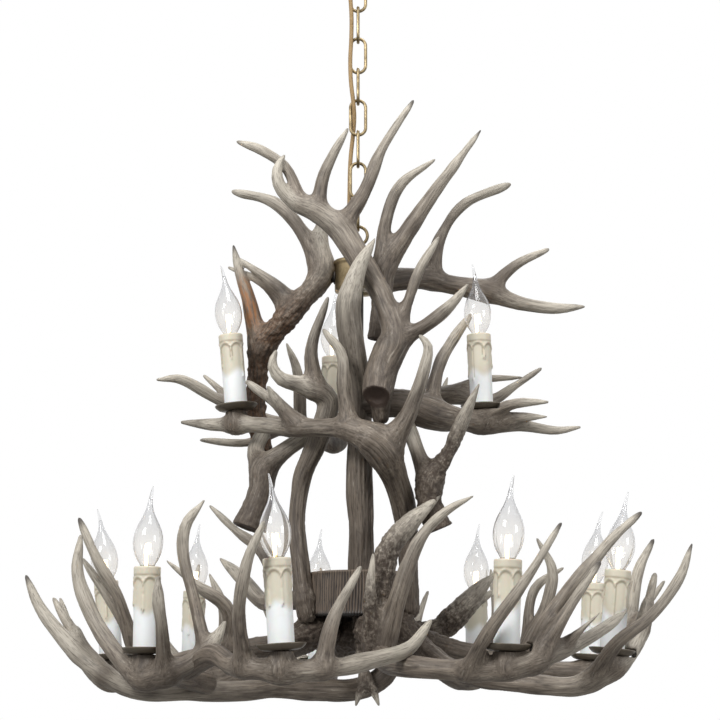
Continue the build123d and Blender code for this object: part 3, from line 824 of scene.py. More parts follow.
@dataclass
class Branch:
    """One limb of an antler, smoothed and sampled along its middle line."""

    points: Limb
    level: float
    kind: Kind
    sawn: bool = False
    sample: float = 3.0               # length of a step along the line
    stride: int = 3                   # steps in one straight piece of the carving
    web_end: float = 80.0             # how far out along a tine the web at its root is gone
    web_fade: float = 35.0
    web_fill: float = 0.22

    def __post_init__(self) -> None:
        """Samples a Catmull-Rom line through the points."""
        knots = np.array([(x, y, self.level + rise, r) for x, y, rise, r in self.points], dtype=float)
        ahead = np.vstack([2 * knots[0] - knots[1], knots, 2 * knots[-1] - knots[-2]])
        rows = []
        for i in range(1, len(ahead) - 2):
            p0, p1, p2, p3 = ahead[i - 1:i + 3]
            g0, g1, g2 = [max(np.linalg.norm(b[:3] - a[:3]), 1.0) ** 0.5
                          for a, b in ((p0, p1), (p1, p2), (p2, p3))]
            m1 = g1 * ((p1 - p0) / g0 - (p2 - p0) / (g0 + g1) + (p2 - p1) / g1)
            m2 = g1 * ((p2 - p1) / g1 - (p3 - p1) / (g1 + g2) + (p3 - p2) / g2)
            count = max(2, int(np.linalg.norm(p2[:3] - p1[:3]) / self.sample))
            t = (np.arange(count) / count)[:, None]
            rows.append((2 * t ** 3 - 3 * t ** 2 + 1) * p1 + (t ** 3 - 2 * t ** 2 + t) * m1
                        + (3 * t ** 2 - 2 * t ** 3) * p2 + (t ** 3 - t ** 2) * m2)
        line = np.vstack([*rows, knots[-1:]])
        self.line = line[:, :3]
        self.radius = np.clip(line[:, 3], knots[:, 3].min(), knots[:, 3].max())
        self.along = np.concatenate([[0.0], np.cumsum(np.linalg.norm(np.diff(self.line, axis=0), axis=1))])
        self.length = float(self.along[-1])
        self.tangent, self.side, self.other = frames_along(self.line)

    def carve(self, grid: Array, origin: Array, cell: float, reach: float, web: float) -> None:
        """Blends this limb's distance into an antler's grid.

        Args:
            grid: signed distances, changed in place.
            origin: the grid's first corner.
            cell: its spacing.
            reach: how far outside the limb distances are worked out.
            web: width of the web at its root.
        """
        pad = self.radius.max() + reach
        first = np.maximum(np.floor((self.line.min(axis=0) - pad - origin) / cell).astype(int), 0)
        last = np.minimum(np.ceil((self.line.max(axis=0) + pad - origin) / cell).astype(int) + 1, grid.shape)
        own = np.full(tuple(last - first), FAR, dtype=np.float32)
        axes = [np.arange(a, b) * cell + o for a, b, o in zip(first, last, origin)]
        stops = [*range(0, len(self.line) - 1, self.stride), len(self.line) - 1]
        for a, b in zip(stops, stops[1:]):
            start, end = self.line[a], self.line[b]
            wide = max(self.radius[a], self.radius[b]) + reach
            low = [int(np.searchsorted(axis, min(s, e) - wide)) for axis, s, e in zip(axes, start, end)]
            high = [int(np.searchsorted(axis, max(s, e) + wide)) for axis, s, e in zip(axes, start, end)]
            if any(lo == hi for lo, hi in zip(low, high)):
                continue
            way = end - start
            rx, ry, rz = np.ix_(*[axis[lo:hi] - s for axis, lo, hi, s in zip(axes, low, high, start)])
            t = unit((rx * way[0] + ry * way[1] + rz * way[2]) / max(way.dot(way), 1e-9))
            away = np.sqrt((rx - t * way[0]) ** 2 + (ry - t * way[1]) ** 2 + (rz - t * way[2]) ** 2)
            away -= self.radius[a] + t * (self.radius[b] - self.radius[a])
            part = own[box(low, high)]
            np.minimum(part, away, out=part)
        rx, ry, rz = np.ix_(*[axis - s for axis, s in zip(axes, self.line[0])])
        from_root = np.sqrt(rx ** 2 + ry ** 2 + rz ** 2)
        if self.sawn:
            way = -self.tangent[0]
            beyond = np.maximum(own, rx * way[0] + ry * way[1] + rz * way[2])
            own = np.where(from_root < 2.4 * self.radius[0], beyond, own).astype(np.float32)
        part = grid[box(first, last)]
        share = unit((self.web_end - from_root) / self.web_fade) if self.kind is Kind.TINE else 1.0
        blend = np.clip(web - np.abs(part - own), 0.0, None) / web
        part[...] = np.minimum(part, own) - share * blend ** 2 * (web * self.web_fill)

    def seen_from(self, verts: Array) -> tuple[Array, Array, Array]:
        """Where points lie against this limb.

        Args:
            verts: (n, 3) points in millimetres.

        Returns:
            Distance outside its surface, length along it, and (n, 3) coordinates in its own grain.
        """
        squares = (verts ** 2).sum(axis=1)[:, None] + (self.line ** 2).sum(axis=1) - 2.0 * verts @ self.line.T
        index = squares.argmin(axis=1)
        off = verts - self.line[index]
        run = (off * self.tangent[index]).sum(axis=1)
        u, v = (off * self.side[index]).sum(axis=1), (off * self.other[index]).sum(axis=1)
        outside = np.sqrt(np.clip(squares[np.arange(len(verts)), index], 0.0, None)) - self.radius[index]
        along = self.along[index] + run
        return outside, along, np.column_stack([u, v, along])


@dataclass
class Antler:
    """One antler: a beam with its tines, coped round the candles that stand on it."""

    node: str
    level: float
    seat: Seat
    beam: Limb
    tines: tuple[Limb, ...] = ()
    sawn_stub: Limb | None = None     # short limb that ends in a saw cut at its first point
    crusty: tuple[int, ...] = ()      # limbs that are rough almost to their tips, the beam being 0
    amber: tuple[int, ...] = ()       # limbs stained a warm brown
    burnt: tuple[int, ...] = ()       # limbs with a dark tip
    furrow_depth: float = 1.0
    cell: float = 2.0                 # spacing of the grid that the skin is taken from
    web: float = 14.0                 # width of the web between limbs
    pedestal: tuple[float, float, float] = (13.5, 12.0, 13.0)     # radii of the stub under a candle
    plate_room: float = 28.5          # radius kept clear round a plate
    candle_room: float = 18.8         # and round a sleeve and its lamp
    blend: float = 3.0                # how softly one limb's marks run into the next
    tip_length: float = 16.0          # how much of a limb's end is drawn to a point
    blunt: float = 6.5                # a limb that ends thicker than this keeps its end

    def build(self) -> tuple[Array, Array]:
        """Works out the antler's skin as a level surface of its distances.

        Returns:
            Points in millimetres and four-cornered faces.
        """
        self.branches = [Branch(self.beam, self.level, Kind.BEAM, self.seat is Seat.SAWN)]
        self.branches += [Branch(tine, self.level, Kind.TINE) for tine in self.tines]
        for x, y, rise, _ in self.beam:
            if any((x, y) == tuple(candle[:2]) for candle in CANDLES.values()):
                heights = (rise + 2, (rise - 2) / 2, 0)
                rests = [(x, y, height, radius) for height, radius in zip(heights, self.pedestal)]
                self.branches.append(Branch(rests, self.level, Kind.STUB))
        if self.sawn_stub:
            self.branches.append(Branch(self.sawn_stub, self.level, Kind.STUB, True))
        reach = self.web * 0.5 + 3.0 * self.cell
        pad = max(branch.radius.max() for branch in self.branches) + reach + 2 * self.cell
        low = np.min([branch.line.min(axis=0) for branch in self.branches], axis=0) - pad
        high = np.max([branch.line.max(axis=0) for branch in self.branches], axis=0) + pad
        grid = np.full(tuple(np.ceil((high - low) / self.cell).astype(int) + 1), FAR, dtype=np.float32)
        for branch in self.branches:
            branch.carve(grid, low, self.cell, reach, self.web)
        self.clear_candles(grid, low)
        level_set = vdb.FloatGrid()
        level_set.background = FAR
        level_set.copyFromArray(np.ascontiguousarray(grid))
        points, quads = level_set.convertToQuads(isovalue=0.0)
        verts = np.asarray(points, dtype=float) * self.cell + low
        return self.one_shell(verts, np.asarray(quads, dtype=np.int64))

    def clear_candles(self, grid: Array, low: Array) -> None:
        """Cuts the room of each plate and candle out of the grid.

        Args:
            grid: signed distances, changed in place.
            low: the grid's first corner.
        """
        for x, y, height, lean, _ in CANDLES.values():
            tilt = math.atan2(lean, Candles.sleeve_length)
            foot = np.array([x, y, height])
            first = np.maximum(((foot - [34, 34, 8] - low) / self.cell).astype(int), 0)
            last = np.minimum(((foot + [62, 34, 235] - low) / self.cell).astype(int), grid.shape)
            if np.any(last <= first):
                continue
            dx, dy, dz = np.ix_(*[np.arange(a, b) * self.cell + o - f
                                  for a, b, o, f in zip(first, last, low, foot)])
            up = dx * math.sin(tilt) + dz * math.cos(tilt)
            out = np.sqrt((dx * math.cos(tilt) - dz * math.sin(tilt)) ** 2 + dy ** 2)
            dish = np.maximum(out - self.plate_room, np.abs(up - 2.7) - 4.7)
            candle = np.maximum(out - self.candle_room, -up)
            part = grid[box(first, last)]
            np.maximum(part, -np.minimum(dish, candle), out=part)

    @staticmethod
    def one_shell(verts: Array, quads: Array) -> tuple[Array, Array]:
        """Keeps the largest shell and turns its faces outwards.

        Args:
            verts: all points.
            quads: all faces.

        Returns:
            The points and faces of the largest shell.
        """
        label = np.arange(len(verts))
        ends = np.vstack([quads[:, [0, 1]], quads[:, [1, 2]], quads[:, [2, 3]]])
        while True:
            lower = np.minimum(label[ends[:, 0]], label[ends[:, 1]])
            fresh = label.copy()
            np.minimum.at(fresh, ends[:, 0], lower)
            np.minimum.at(fresh, ends[:, 1], lower)
            fresh = fresh[fresh]
            if np.array_equal(fresh, label):
                break
            label = fresh
        names, counts = np.unique(label, return_counts=True)
        kept = label == names[counts.argmax()]
        number = np.cumsum(kept) - 1
        quads = number[quads[kept[quads[:, 0]]]]
        verts = verts[kept]
        a, b, c = verts[quads[:, 0]], verts[quads[:, 1]], verts[quads[:, 2]]
        if np.einsum("ij,ij->i", a, np.cross(b, c)).sum() < 0:
            quads = quads[:, ::-1]
        return verts, quads

    @staticmethod
    def normals(verts: Array, quads: Array) -> Array:
        """Unit normals of the points.

        Args:
            verts: points in millimetres.
            quads: their faces.

        Returns:
            (n, 3) array.
        """
        p = verts[quads]
        face = np.cross(p[:, 2] - p[:, 0], p[:, 3] - p[:, 1])
        total = np.zeros_like(verts)
        for corner in range(4):
            np.add.at(total, quads[:, corner], face)
        return total / np.maximum(np.linalg.norm(total, axis=1), 1e-9)[:, None]

    def worn_and_shaded(self, verts: Array, quads: Array) -> tuple[Array, dict[str, Array]]:
        """Carves furrows, pearls, saw cuts and points into the skin, and works out the painted shade in its
        furrows and pearl pits.

        Args:
            verts: points in millimetres.
            quads: their faces.

        Returns:
            The moved points, and the values of each attribute that the finish reads.
        """
        seed, count = sum(ord(letter) for letter in self.node), len(verts)
        outside, along, grain = map(np.array, zip(*[branch.seen_from(verts) for branch in self.branches]))
        nearest = outside.argmin(axis=0)
        weight = np.exp(-(outside - outside.min(axis=0)) / self.blend)
        weight /= weight.sum(axis=0)
        age, crust, crevice_shade, amber, dark = (np.zeros(count) for _ in range(5))
        relief = 1.1 * (noise(verts / 26.0, seed) - 0.5) * 2.0
        pearls = noise(verts / 5.2, seed + 7)
        pearls = unit((pearls - 0.35) * 2.2) + 0.5 * (noise(verts / 2.9, seed + 9) - 0.5)
        base = 0.22 if self.seat is Seat.FOOT and self.level == LOWER else 0.0
        first_crust = {Seat.BURR: 1.0, Seat.SAWN: 0.5, Seat.FOOT: 0.15}[self.seat]
        for index, branch in enumerate(self.branches):
            share, run, length = weight[index], along[index], branch.length
            part = run / length
            own = {Kind.BEAM: base + (1.0 - base) * run / length, Kind.TINE: 0.30 + 0.70 * run / length,
                   Kind.STUB: np.full(count, 0.25)}[branch.kind]
            if index in self.crusty:
                rough = step(0.92, 0.45, part)
            elif branch.kind is Kind.BEAM:
                rough = step(110.0, 12.0, run) * first_crust
            else:
                rough = 0.30 * step(24.0, 2.0, run)
            stretch = [5.4, 5.4, 60.0 * self.furrow_depth]
            furrow = furrows(grain[index] / stretch + index * 3.7, seed + 20 * index)
            depth = self.furrow_depth * (step(0.95, 0.15, own) * 1.35 + 0.12)
            relief -= share * depth * furrow
            age += share * unit(own)
            crust += share * rough
            # painted shade: the furrows' bottoms get darker, more where they are deep
            crevice_shade += share * furrow * unit(depth)
            if index in self.amber:
                amber += share * step(0.05, 0.35, part) * step(0.85, 0.5, part)
            elif self.amber and branch.kind is Kind.BEAM:
                amber += share * rough * 0.25
            tip, darkness = (14.0, 0.95) if index in self.burnt else (4.0, 0.35)
            dark += share * step(length - tip, length + 1.0, run) * darkness
        relief += crust * 2.1 * (pearls - 0.35)
        # painted shade also darkens the low spots between the pearls
        crevice_shade = np.maximum(crevice_shade, crust * unit((0.32 - pearls) * 2.4))
        if self.seat is Seat.BURR:
            relief += hump(along[0], 6.0, 7.0) * (nearest == 0) * (2.5 + 3.0 * pearls)
        sawn = np.zeros(count)
        way = self.normals(verts, quads)
        for index, branch in enumerate(self.branches):
            if branch.sawn:
                facing = way @ -branch.tangent[0]
                cut = step(0.55, 0.9, facing) * (along[index] < 4.0) * (nearest == index)
                relief = relief * (1.0 - cut) - cut * 2.5 * step(3.0, 9.0, -outside[index])
                sawn = np.maximum(sawn, cut)
        own_grain = grain[nearest, np.arange(count)] * 0.1 + (nearest * 5.3 + seed % 17)[:, None]
        marks = {"grain": own_grain, "wear": np.column_stack([age, crust, crevice_shade]),
                 "stain": np.column_stack([amber, dark, sawn])}
        return self.sharpened(verts, along, nearest) + way * relief[:, None], marks

    def sharpened(self, verts: Array, along: Array, nearest: Array) -> Array:
        """Draws the last stretch of every limb to a rounded point.

        Args:
            verts: points in millimetres.
            along: length along each limb.
            nearest: number of the nearest limb.

        Returns:
            The moved points.
        """
        moved = verts.copy()
        for index, branch in enumerate(self.branches):
            if branch.radius[-1] > self.blunt:
                continue
            near_tip = (nearest == index) & (along[index] > branch.length - self.tip_length)
            share = unit((along[index][near_tip] - branch.length + self.tip_length) / (self.tip_length + 3.0))
            way = branch.tangent[-1]
            off = verts[near_tip] - branch.line[-1]
            across = off - (off @ way)[:, None] * way
            moved[near_tip] = verts[near_tip] - across * (0.42 * share ** 2)[:, None]
        return moved

    def dress(self, material: Material) -> None:
        """Builds the antler in its finish.

        Args:
            material: the antler's finish.
        """
        verts, quads = self.build()
        verts, marks = self.worn_and_shaded(verts, quads)
        piece = smooth_piece(f"{self.node}_weathered", placed(verts), quads.tolist(), material)
        for name, values in marks.items():
            store(piece, name, values)
        declare(piece, "chandelier", "antler", self.node)


# ------------------------------------------------------------------ the antlers' beams and tines
# points are (x, y, height above the antler's level, radius)
ANTLERS: tuple[Antler, ...] = (
    Antler("antler_front_post", UPPER, Seat.FOOT,
        [(2, -34, DRUM + 30 - UPPER, 16), (4, -36, -170, 16), (2, -40, -108, 17), (2, -48, -46, 16),
         (2, -64, 14, 15), (-8, -86, 72, 16), (-12, -98, 112, 16), (0, -104, 156, 10), (20, -104, 194, 3)],
        furrow_depth=2.3),
    Antler("antler_right_post", UPPER, Seat.FOOT,
        [(64, -14, DRUM + 12 - UPPER, 14), (62, -22, -192, 12), (58, -36, -138, 15), (44, -70, -92, 17),
         (22, -102, -58, 23), (-10, -100, -42, 14), (-44, -80, -36, 11), (-84, -50, -32, 10),
         (-120, -22, -24, 10), under("upper_left", 20, 10), (-192, 22, -16, 7), (-226, 44, -10, 3)],
        ([(-10, -100, -40, 12), (-18, -106, 8, 8), (-20, -112, 48, 7), (-40, -116, 76, 4)],
         [(38, -98, -62, 17), (64, -116, -18, 10), (80, -128, 28, 8), (84, -130, 56, 5), (76, -130, 66, 3)],
         [(-66, -62, -32, 10), (-102, -58, -2, 7), (-136, -54, 24, 4)],
         [(-76, -56, -32, 7), (-110, -72, 14, 3)]),
        furrow_depth=1.9),
    Antler("antler_left_post", UPPER, Seat.FOOT,
        [(-62, -26, DRUM + 4 - UPPER, 13), (-70, -22, -204, 12), (-76, -18, -142, 11), (-68, -22, -86, 12),
         (-50, -34, -44, 14), (-38, -44, 6, 14), (-70, -56, 20, 11), (-96, -66, 28, 8),
         (-106, -70, 44, 6), (-102, -72, 58, 4)],
        ([(-52, -50, 18, 11), (-58, -60, 64, 8), (-38, -72, 126, 4)],
         [(-64, -24, -240, 13), (-94, 30, -240, 12), (-120, 60, -240, 11), (-152, 84, -206, 9),
          (-178, 100, -182, 4)],
         [(-96, 36, -240, 10), (-124, 66, -174, 8), (-158, 78, -146, 6), (-192, 90, -114, 3)]),
        furrow_depth=2.0),
    Antler("antler_upper_right", UPPER, Seat.FOOT,
        [(10, -58, -4, 17), (52, -54, -2, 19), (88, -40, -12, 21), (122, -18, -16, 16),
         under("upper_right", 18, 12), (206, 6, -20, 8), (250, 8, -26, 6), (280, 8, -22, 3)],
        ([(148, -6, -12, 10), (198, -20, 4, 6), (236, -28, 4, 3)],
         [(174, 2, -16, 8), (204, -8, -12, 6), (236, -14, -12, 3)],
         [(90, -36, -2, 11), (102, -10, 52, 8), (120, 14, 90, 7), (144, 26, 126, 4)])),
    Antler("antler_upper_back_left", UPPER, Seat.FOOT,
        [(-4, -2, -8, 16), (-24, 80, -10, 15), under("upper_back", 18, 15), (-92, 150, -2, 11),
         (-178, 118, 28, 8), (-236, 96, 56, 6), (-264, 88, 54, 3)],
        ([(-158, 124, 22, 7), (-206, 130, 66, 3)],
         [(-78, 152, -2, 9), (-82, 140, 74, 7), (-96, 130, 110, 3)],
         [(-98, 146, 2, 9), (-144, 100, -28, 6), (-204, 78, -28, 3)],
         [(-36, 142, -20, 12), (-22, 190, -8, 10), (-6, 226, 22, 8), (2, 240, 70, 3)])),
    Antler("antler_upper_back_right", UPPER, Seat.FOOT,
        [(0, 4, 14, 15), (68, 40, 14, 14), (116, 50, 26, 11), (172, 52, 20, 8), (202, 50, 38, 6),
         (236, 46, 60, 3)],
        ([(106, 48, 24, 9), (160, 58, 48, 6), (212, 62, 52, 3)],
         [(60, 36, 12, 12), (86, 96, 14, 10), (108, 154, 30, 8), (122, 176, 72, 3)])),
    Antler("antler_crown_right", HUB, Seat.FOOT,
        [(24, 3, -6, 17), (76, 18, 2, 14), (122, 34, -2, 13), (170, 44, -10, 14),
         (214, 48, -24, 9), (258, 50, -30, 8), (294, 50, -28, 4)],
        ([(172, 44, -6, 10), (208, 46, 28, 7), (248, 48, 48, 4)],
         [(96, 26, 6, 12), (106, 24, 56, 8), (138, 20, 102, 7), (194, 14, 126, 6)])),
    Antler("antler_crown_left", HUB, Seat.FOOT,
        [(-120, 26, -218, 13), (-132, 40, -170, 14), (-130, 38, -128, 13), (-124, 26, -88, 15),
         (-96, 12, -56, 15), (-68, 2, -26, 14), (-45, 0, 6, 16), (-49, 4, 44, 12),
         (-46, 10, 86, 6)],
        ([(-126, 26, -90, 14), (-142, 26, -24, 10), (-154, 24, 12, 7), (-162, 22, 46, 3)],
         [(-50, 0, 10, 13), (-72, 2, 60, 9), (-108, 6, 100, 8), (-160, 10, 116, 5)],
         [(-80, 4, -34, 10), (-106, 8, -8, 7), (-156, 26, 30, 4)],
         [(-90, 10, -44, 9), (-124, 22, -2, 6), (-168, 40, 22, 3)]),
        crusty=(0,), amber=(1,), burnt=(1,), furrow_depth=1.4),
    Antler("antler_crown_back", HUB, Seat.SAWN,
        [(24, -28, -88, 13), (30, -28, -38, 14), (32, -28, 0, 15), (60, -36, 46, 11),
         (108, -43, 116, 8), (156, -48, 180, 3)],
        ([(30, -29, 6, 12), (34, -36, 58, 8), (54, -42, 110, 7), (96, -50, 140, 4)],),
        burnt=(0,)),
    Antler("antler_crown_front", HUB, Seat.FOOT,
        [(28, -90, -196, 11), (30, -95, -142, 16), (46, -90, -104, 16), (32, -82, -50, 14), (4, -70, 2, 15),
         (-22, -62, 46, 16), (-52, -60, 70, 13), (-84, -62, 84, 9), (-100, -66, 104, 8),
         (-102, -66, 126, 6), (-94, -62, 142, 3)],
        ([(-70, -60, 80, 8), (-92, -52, 130, 7), (-122, -48, 154, 6), (-152, -45, 166, 4)],
         [(-50, -60, 72, 9), (-44, -62, 114, 8), (-30, -66, 146, 6), (-14, -70, 174, 3)],
         [(-16, -60, 56, 11), (8, -58, 98, 9), (30, -52, 154, 7), (70, -40, 222, 3)],
         [(52, -90, -102, 11), (88, -105, -82, 9), (114, -118, -62, 7), (132, -128, -42, 3)],
         [(50, -88, -88, 9), (62, -92, -52, 7), (76, -96, -14, 6), (98, -98, 24, 4)]),
        sawn_stub=[(22, -116, -174, 17), (26, -98, -146, 17), (34, -92, -112, 15)], burnt=(3,)),
    Antler("antler_hanging_left", UPPER, Seat.SAWN,
        [(-138, -8, -152, 19), (-122, -4, -106, 16), (-116, 0, -76, 16), (-92, -8, -54, 11),
         (-70, -16, -40, 10), (-48, -24, -22, 9)],
        ([(-120, 0, -82, 14), (-130, 14, -52, 11), (-122, 22, -30, 10)],)),
    Antler("antler_hanging_right", UPPER, Seat.SAWN,
        [(100, -58, -158, 15), (88, -60, -128, 15), (88, -64, -98, 15), (108, -74, -70, 10),
         (126, -88, -32, 9), (146, -104, 12, 3)],
        ([(90, -64, -104, 13), (76, -56, -70, 10), (60, -50, -24, 9)],),
        crusty=(0,)),
    Antler("antler_ring_right", LOWER, Seat.BURR,
        [burr("right", 19), (78, -36, 10, 14), (122, -60, -20, 12), (208, -104, -34, 12),
         (256, -136, -36, 12), under("right", 17, 13), (322, -136, 10, 9), (340, -118, 54, 4)],
        ([(270, -142, -28, 10), (296, -186, 12, 8), (332, -188, 40, 7), (368, -180, 84, 7),
          (384, -176, 122, 3)],
         [(332, -128, 28, 6), (352, -104, 92, 4)]),
        burnt=(1,)),
    Antler("antler_ring_front_right", LOWER, Seat.BURR,
        [burr("front_right", 19), (22, -78, 10, 14), (34, -150, -10, 13), (58, -222, -17, 13),
         (114, -262, -22, 11), under("front_right", 21, 12), (200, -290, -8, 11), (242, -268, 8, 8),
         (280, -236, 30, 6), (300, -220, 44, 2)],
        ([(122, -270, -22, 11), (140, -318, 18, 8), (180, -336, 74, 6), (216, -332, 130, 3)],
         [(184, -292, -16, 11), (206, -284, 32, 9), (252, -264, 88, 8), (284, -250, 124, 6),
          (316, -238, 152, 3)],
         [(194, -292, -12, 10), (218, -300, 30, 7), (262, -288, 92, 3)],
         [(216, -284, -2, 5), (260, -296, 38, 2)]),
        burnt=(1, 2, 3)),
    Antler("antler_ring_right_back", LOWER, Seat.BURR,
        [burr("right_back", 19), (92, 28, 18, 14), (140, 40, 6, 13), (230, 62, -14, 13),
         under("right_back", 16, 14), (324, 83, -12, 13), (348, 92, 38, 10), (364, 98, 112, 7),
         (384, 100, 152, 3)],
        ([(204, 56, -6, 10), (240, 44, 72, 8), (246, 40, 110, 7), (228, 36, 148, 3)],
         [(212, 58, -10, 8), (226, 64, 88, 6), (262, 70, 114, 3)],
         [(342, 88, 26, 6), (390, 60, 96, 3)]),
        burnt=(0,)),
    Antler("antler_ring_back_right", LOWER, Seat.BURR,
        [burr("back_right", 19), (58, 78, 20, 15), (100, 136, -6, 15), under("back_right", 19, 16),
         (206, 262, 30, 11), (220, 270, 100, 3)],
        ([(150, 226, -16, 13), (180, 284, 6, 11), (196, 326, 68, 8), (190, 340, 132, 3)],
         [(50, 62, 30, 15), (104, 66, 36, 15), (140, 62, 72, 13), (174, 58, 106, 3)],
         [(120, 64, 48, 10), (174, 80, 86, 4)]),
        crusty=(2, 3), furrow_depth=1.4),
    Antler("antler_ring_back", LOWER, Seat.BURR,
        [burr("back", 19), (-18, 96, 14, 15), (-38, 190, -10, 15), under("back", 19, 16),
         (-96, 335, 20, 11), (-138, 340, 90, 4)],
        ([(-54, 300, -18, 12), (-38, 346, 10, 10), (-46, 362, 76, 8), (-54, 366, 136, 3)],
         [(-28, 140, 2, 12), (60, 188, 20, 8), (94, 205, 92, 3)])),
    Antler("antler_ring_back_left", LOWER, Seat.BURR,
        [burr("back_left", 19), (-82, 84, 16, 15), (-128, 140, -8, 14), under("back_left", 19, 15),
         (-274, 260, 30, 10), (-302, 262, 100, 3)],
        ([(-216, 228, -16, 12), (-230, 284, 8, 10), (-236, 308, 76, 8), (-226, 314, 136, 3)],
         [(-186, 200, -10, 9), (-184, 230, 70, 7), (-204, 235, 118, 3)])),
    Antler("antler_ring_left", LOWER, Seat.BURR,
        [burr("left", 19), (-96, -14, 16, 14), (-150, -28, 6, 13), (-232, 4, -10, 14),
         under("left", 26, 15), (-356, 70, 10, 9), (-384, 90, 76, 3)],
        ([(-272, 20, -12, 10), (-296, -18, 74, 7), (-320, -24, 114, 7), (-344, -26, 166, 4)],
         [(-258, 12, -10, 9), (-304, -8, 66, 7), (-340, -14, 118, 4)],
         [(-154, -28, 8, 11), (-160, -44, 58, 9), (-198, -60, 86, 6), (-230, -72, 112, 2)]),
        burnt=(1,)),
    Antler("antler_ring_low", LOWER, Seat.FOOT,
        [(52, 22, 10, 14), (30, 24, -24, 14), (2, 26, -38, 14), (-46, 0, -40, 14), (-100, -40, -38, 13),
         (-138, -80, -42, 13), (-196, -118, -42, 12), (-260, -134, -40, 12), (-300, -134, -20, 10),
         (-342, -124, 16, 9), (-374, -114, 54, 7), (-392, -110, 90, 3)],
        ([(-294, -134, -24, 9), (-332, -112, 22, 7), (-360, -100, 64, 4)],
         [(-324, -126, 0, 5), (-328, -118, 28, 2)]),
        burnt=(0,)),
    Antler("antler_ring_front_left_outer", LOWER, Seat.FOOT,
        [(-178, -124, -32, 14), (-196, -160, -28, 13), (-216, -200, -26, 13),
         under("front_left_outer", 29, 14), (-276, -168, 0, 10), (-310, -140, 46, 9), (-330, -124, 96, 8),
         (-328, -120, 136, 4)],
        ([(-216, -202, -24, 11), (-186, -212, -12, 11), (-162, -216, 8, 8), (-150, -214, 30, 4)],
         [(-216, -204, -24, 10), (-218, -232, 30, 7), (-222, -236, 56, 7), (-222, -238, 80, 3)],
         [(-170, -214, 0, 9), (-186, -196, 60, 7), (-200, -186, 114, 7), (-198, -184, 144, 7),
          (-178, -182, 172, 3)])),
    Antler("antler_ring_front_left", LOWER, Seat.FOOT,
        [(-190, -194, -18, 13), (-158, -238, -4, 12), (-136, -268, -16, 12), (-114, -294, -20, 12),
         under("front_left", 24, 12), (-40, -298, -22, 11), (2, -268, -14, 10), (28, -246, -7, 9),
         (56, -222, 3, 8), (82, -190, 34, 3)],
        ([(-122, -290, -18, 11), (-126, -322, 40, 7), (-116, -338, 92, 6), (-100, -344, 130, 3)],
         [(-38, -298, -20, 11), (-26, -300, 32, 8), (2, -296, 86, 3)])),
    Antler("antler_center_spur", LOWER, Seat.FOOT,
        [(22, -100, 2, 14), (26, -98, 64, 15), (38, -92, 126, 14), (62, -84, 156, 12), (98, -70, 190, 3)],
        ([(32, -106, 2, 13), (50, -124, 74, 11), (72, -132, 132, 8), (102, -138, 164, 6),
          (134, -142, 182, 3)],
         [(18, -102, 10, 11), (14, -122, 62, 8), (18, -126, 114, 3)]),
        crusty=(0, 2), furrow_depth=1.3),
    Antler("finial", DRUM, Seat.FOOT,
        [(0, 0, 10, 7), (0, 0, -2, 7), (3, -2, -40, 7), (9, -4, -78, 7)],
        ([(9, -4, -74, 7), (1, -5, -94, 5), (-2, -6, -105, 3)],
         [(9, -4, -74, 7), (20, -5, -92, 5), (25, -6, -105, 3)]),
        crusty=(0, 1, 2), cell=1.2, web=7.0),
)


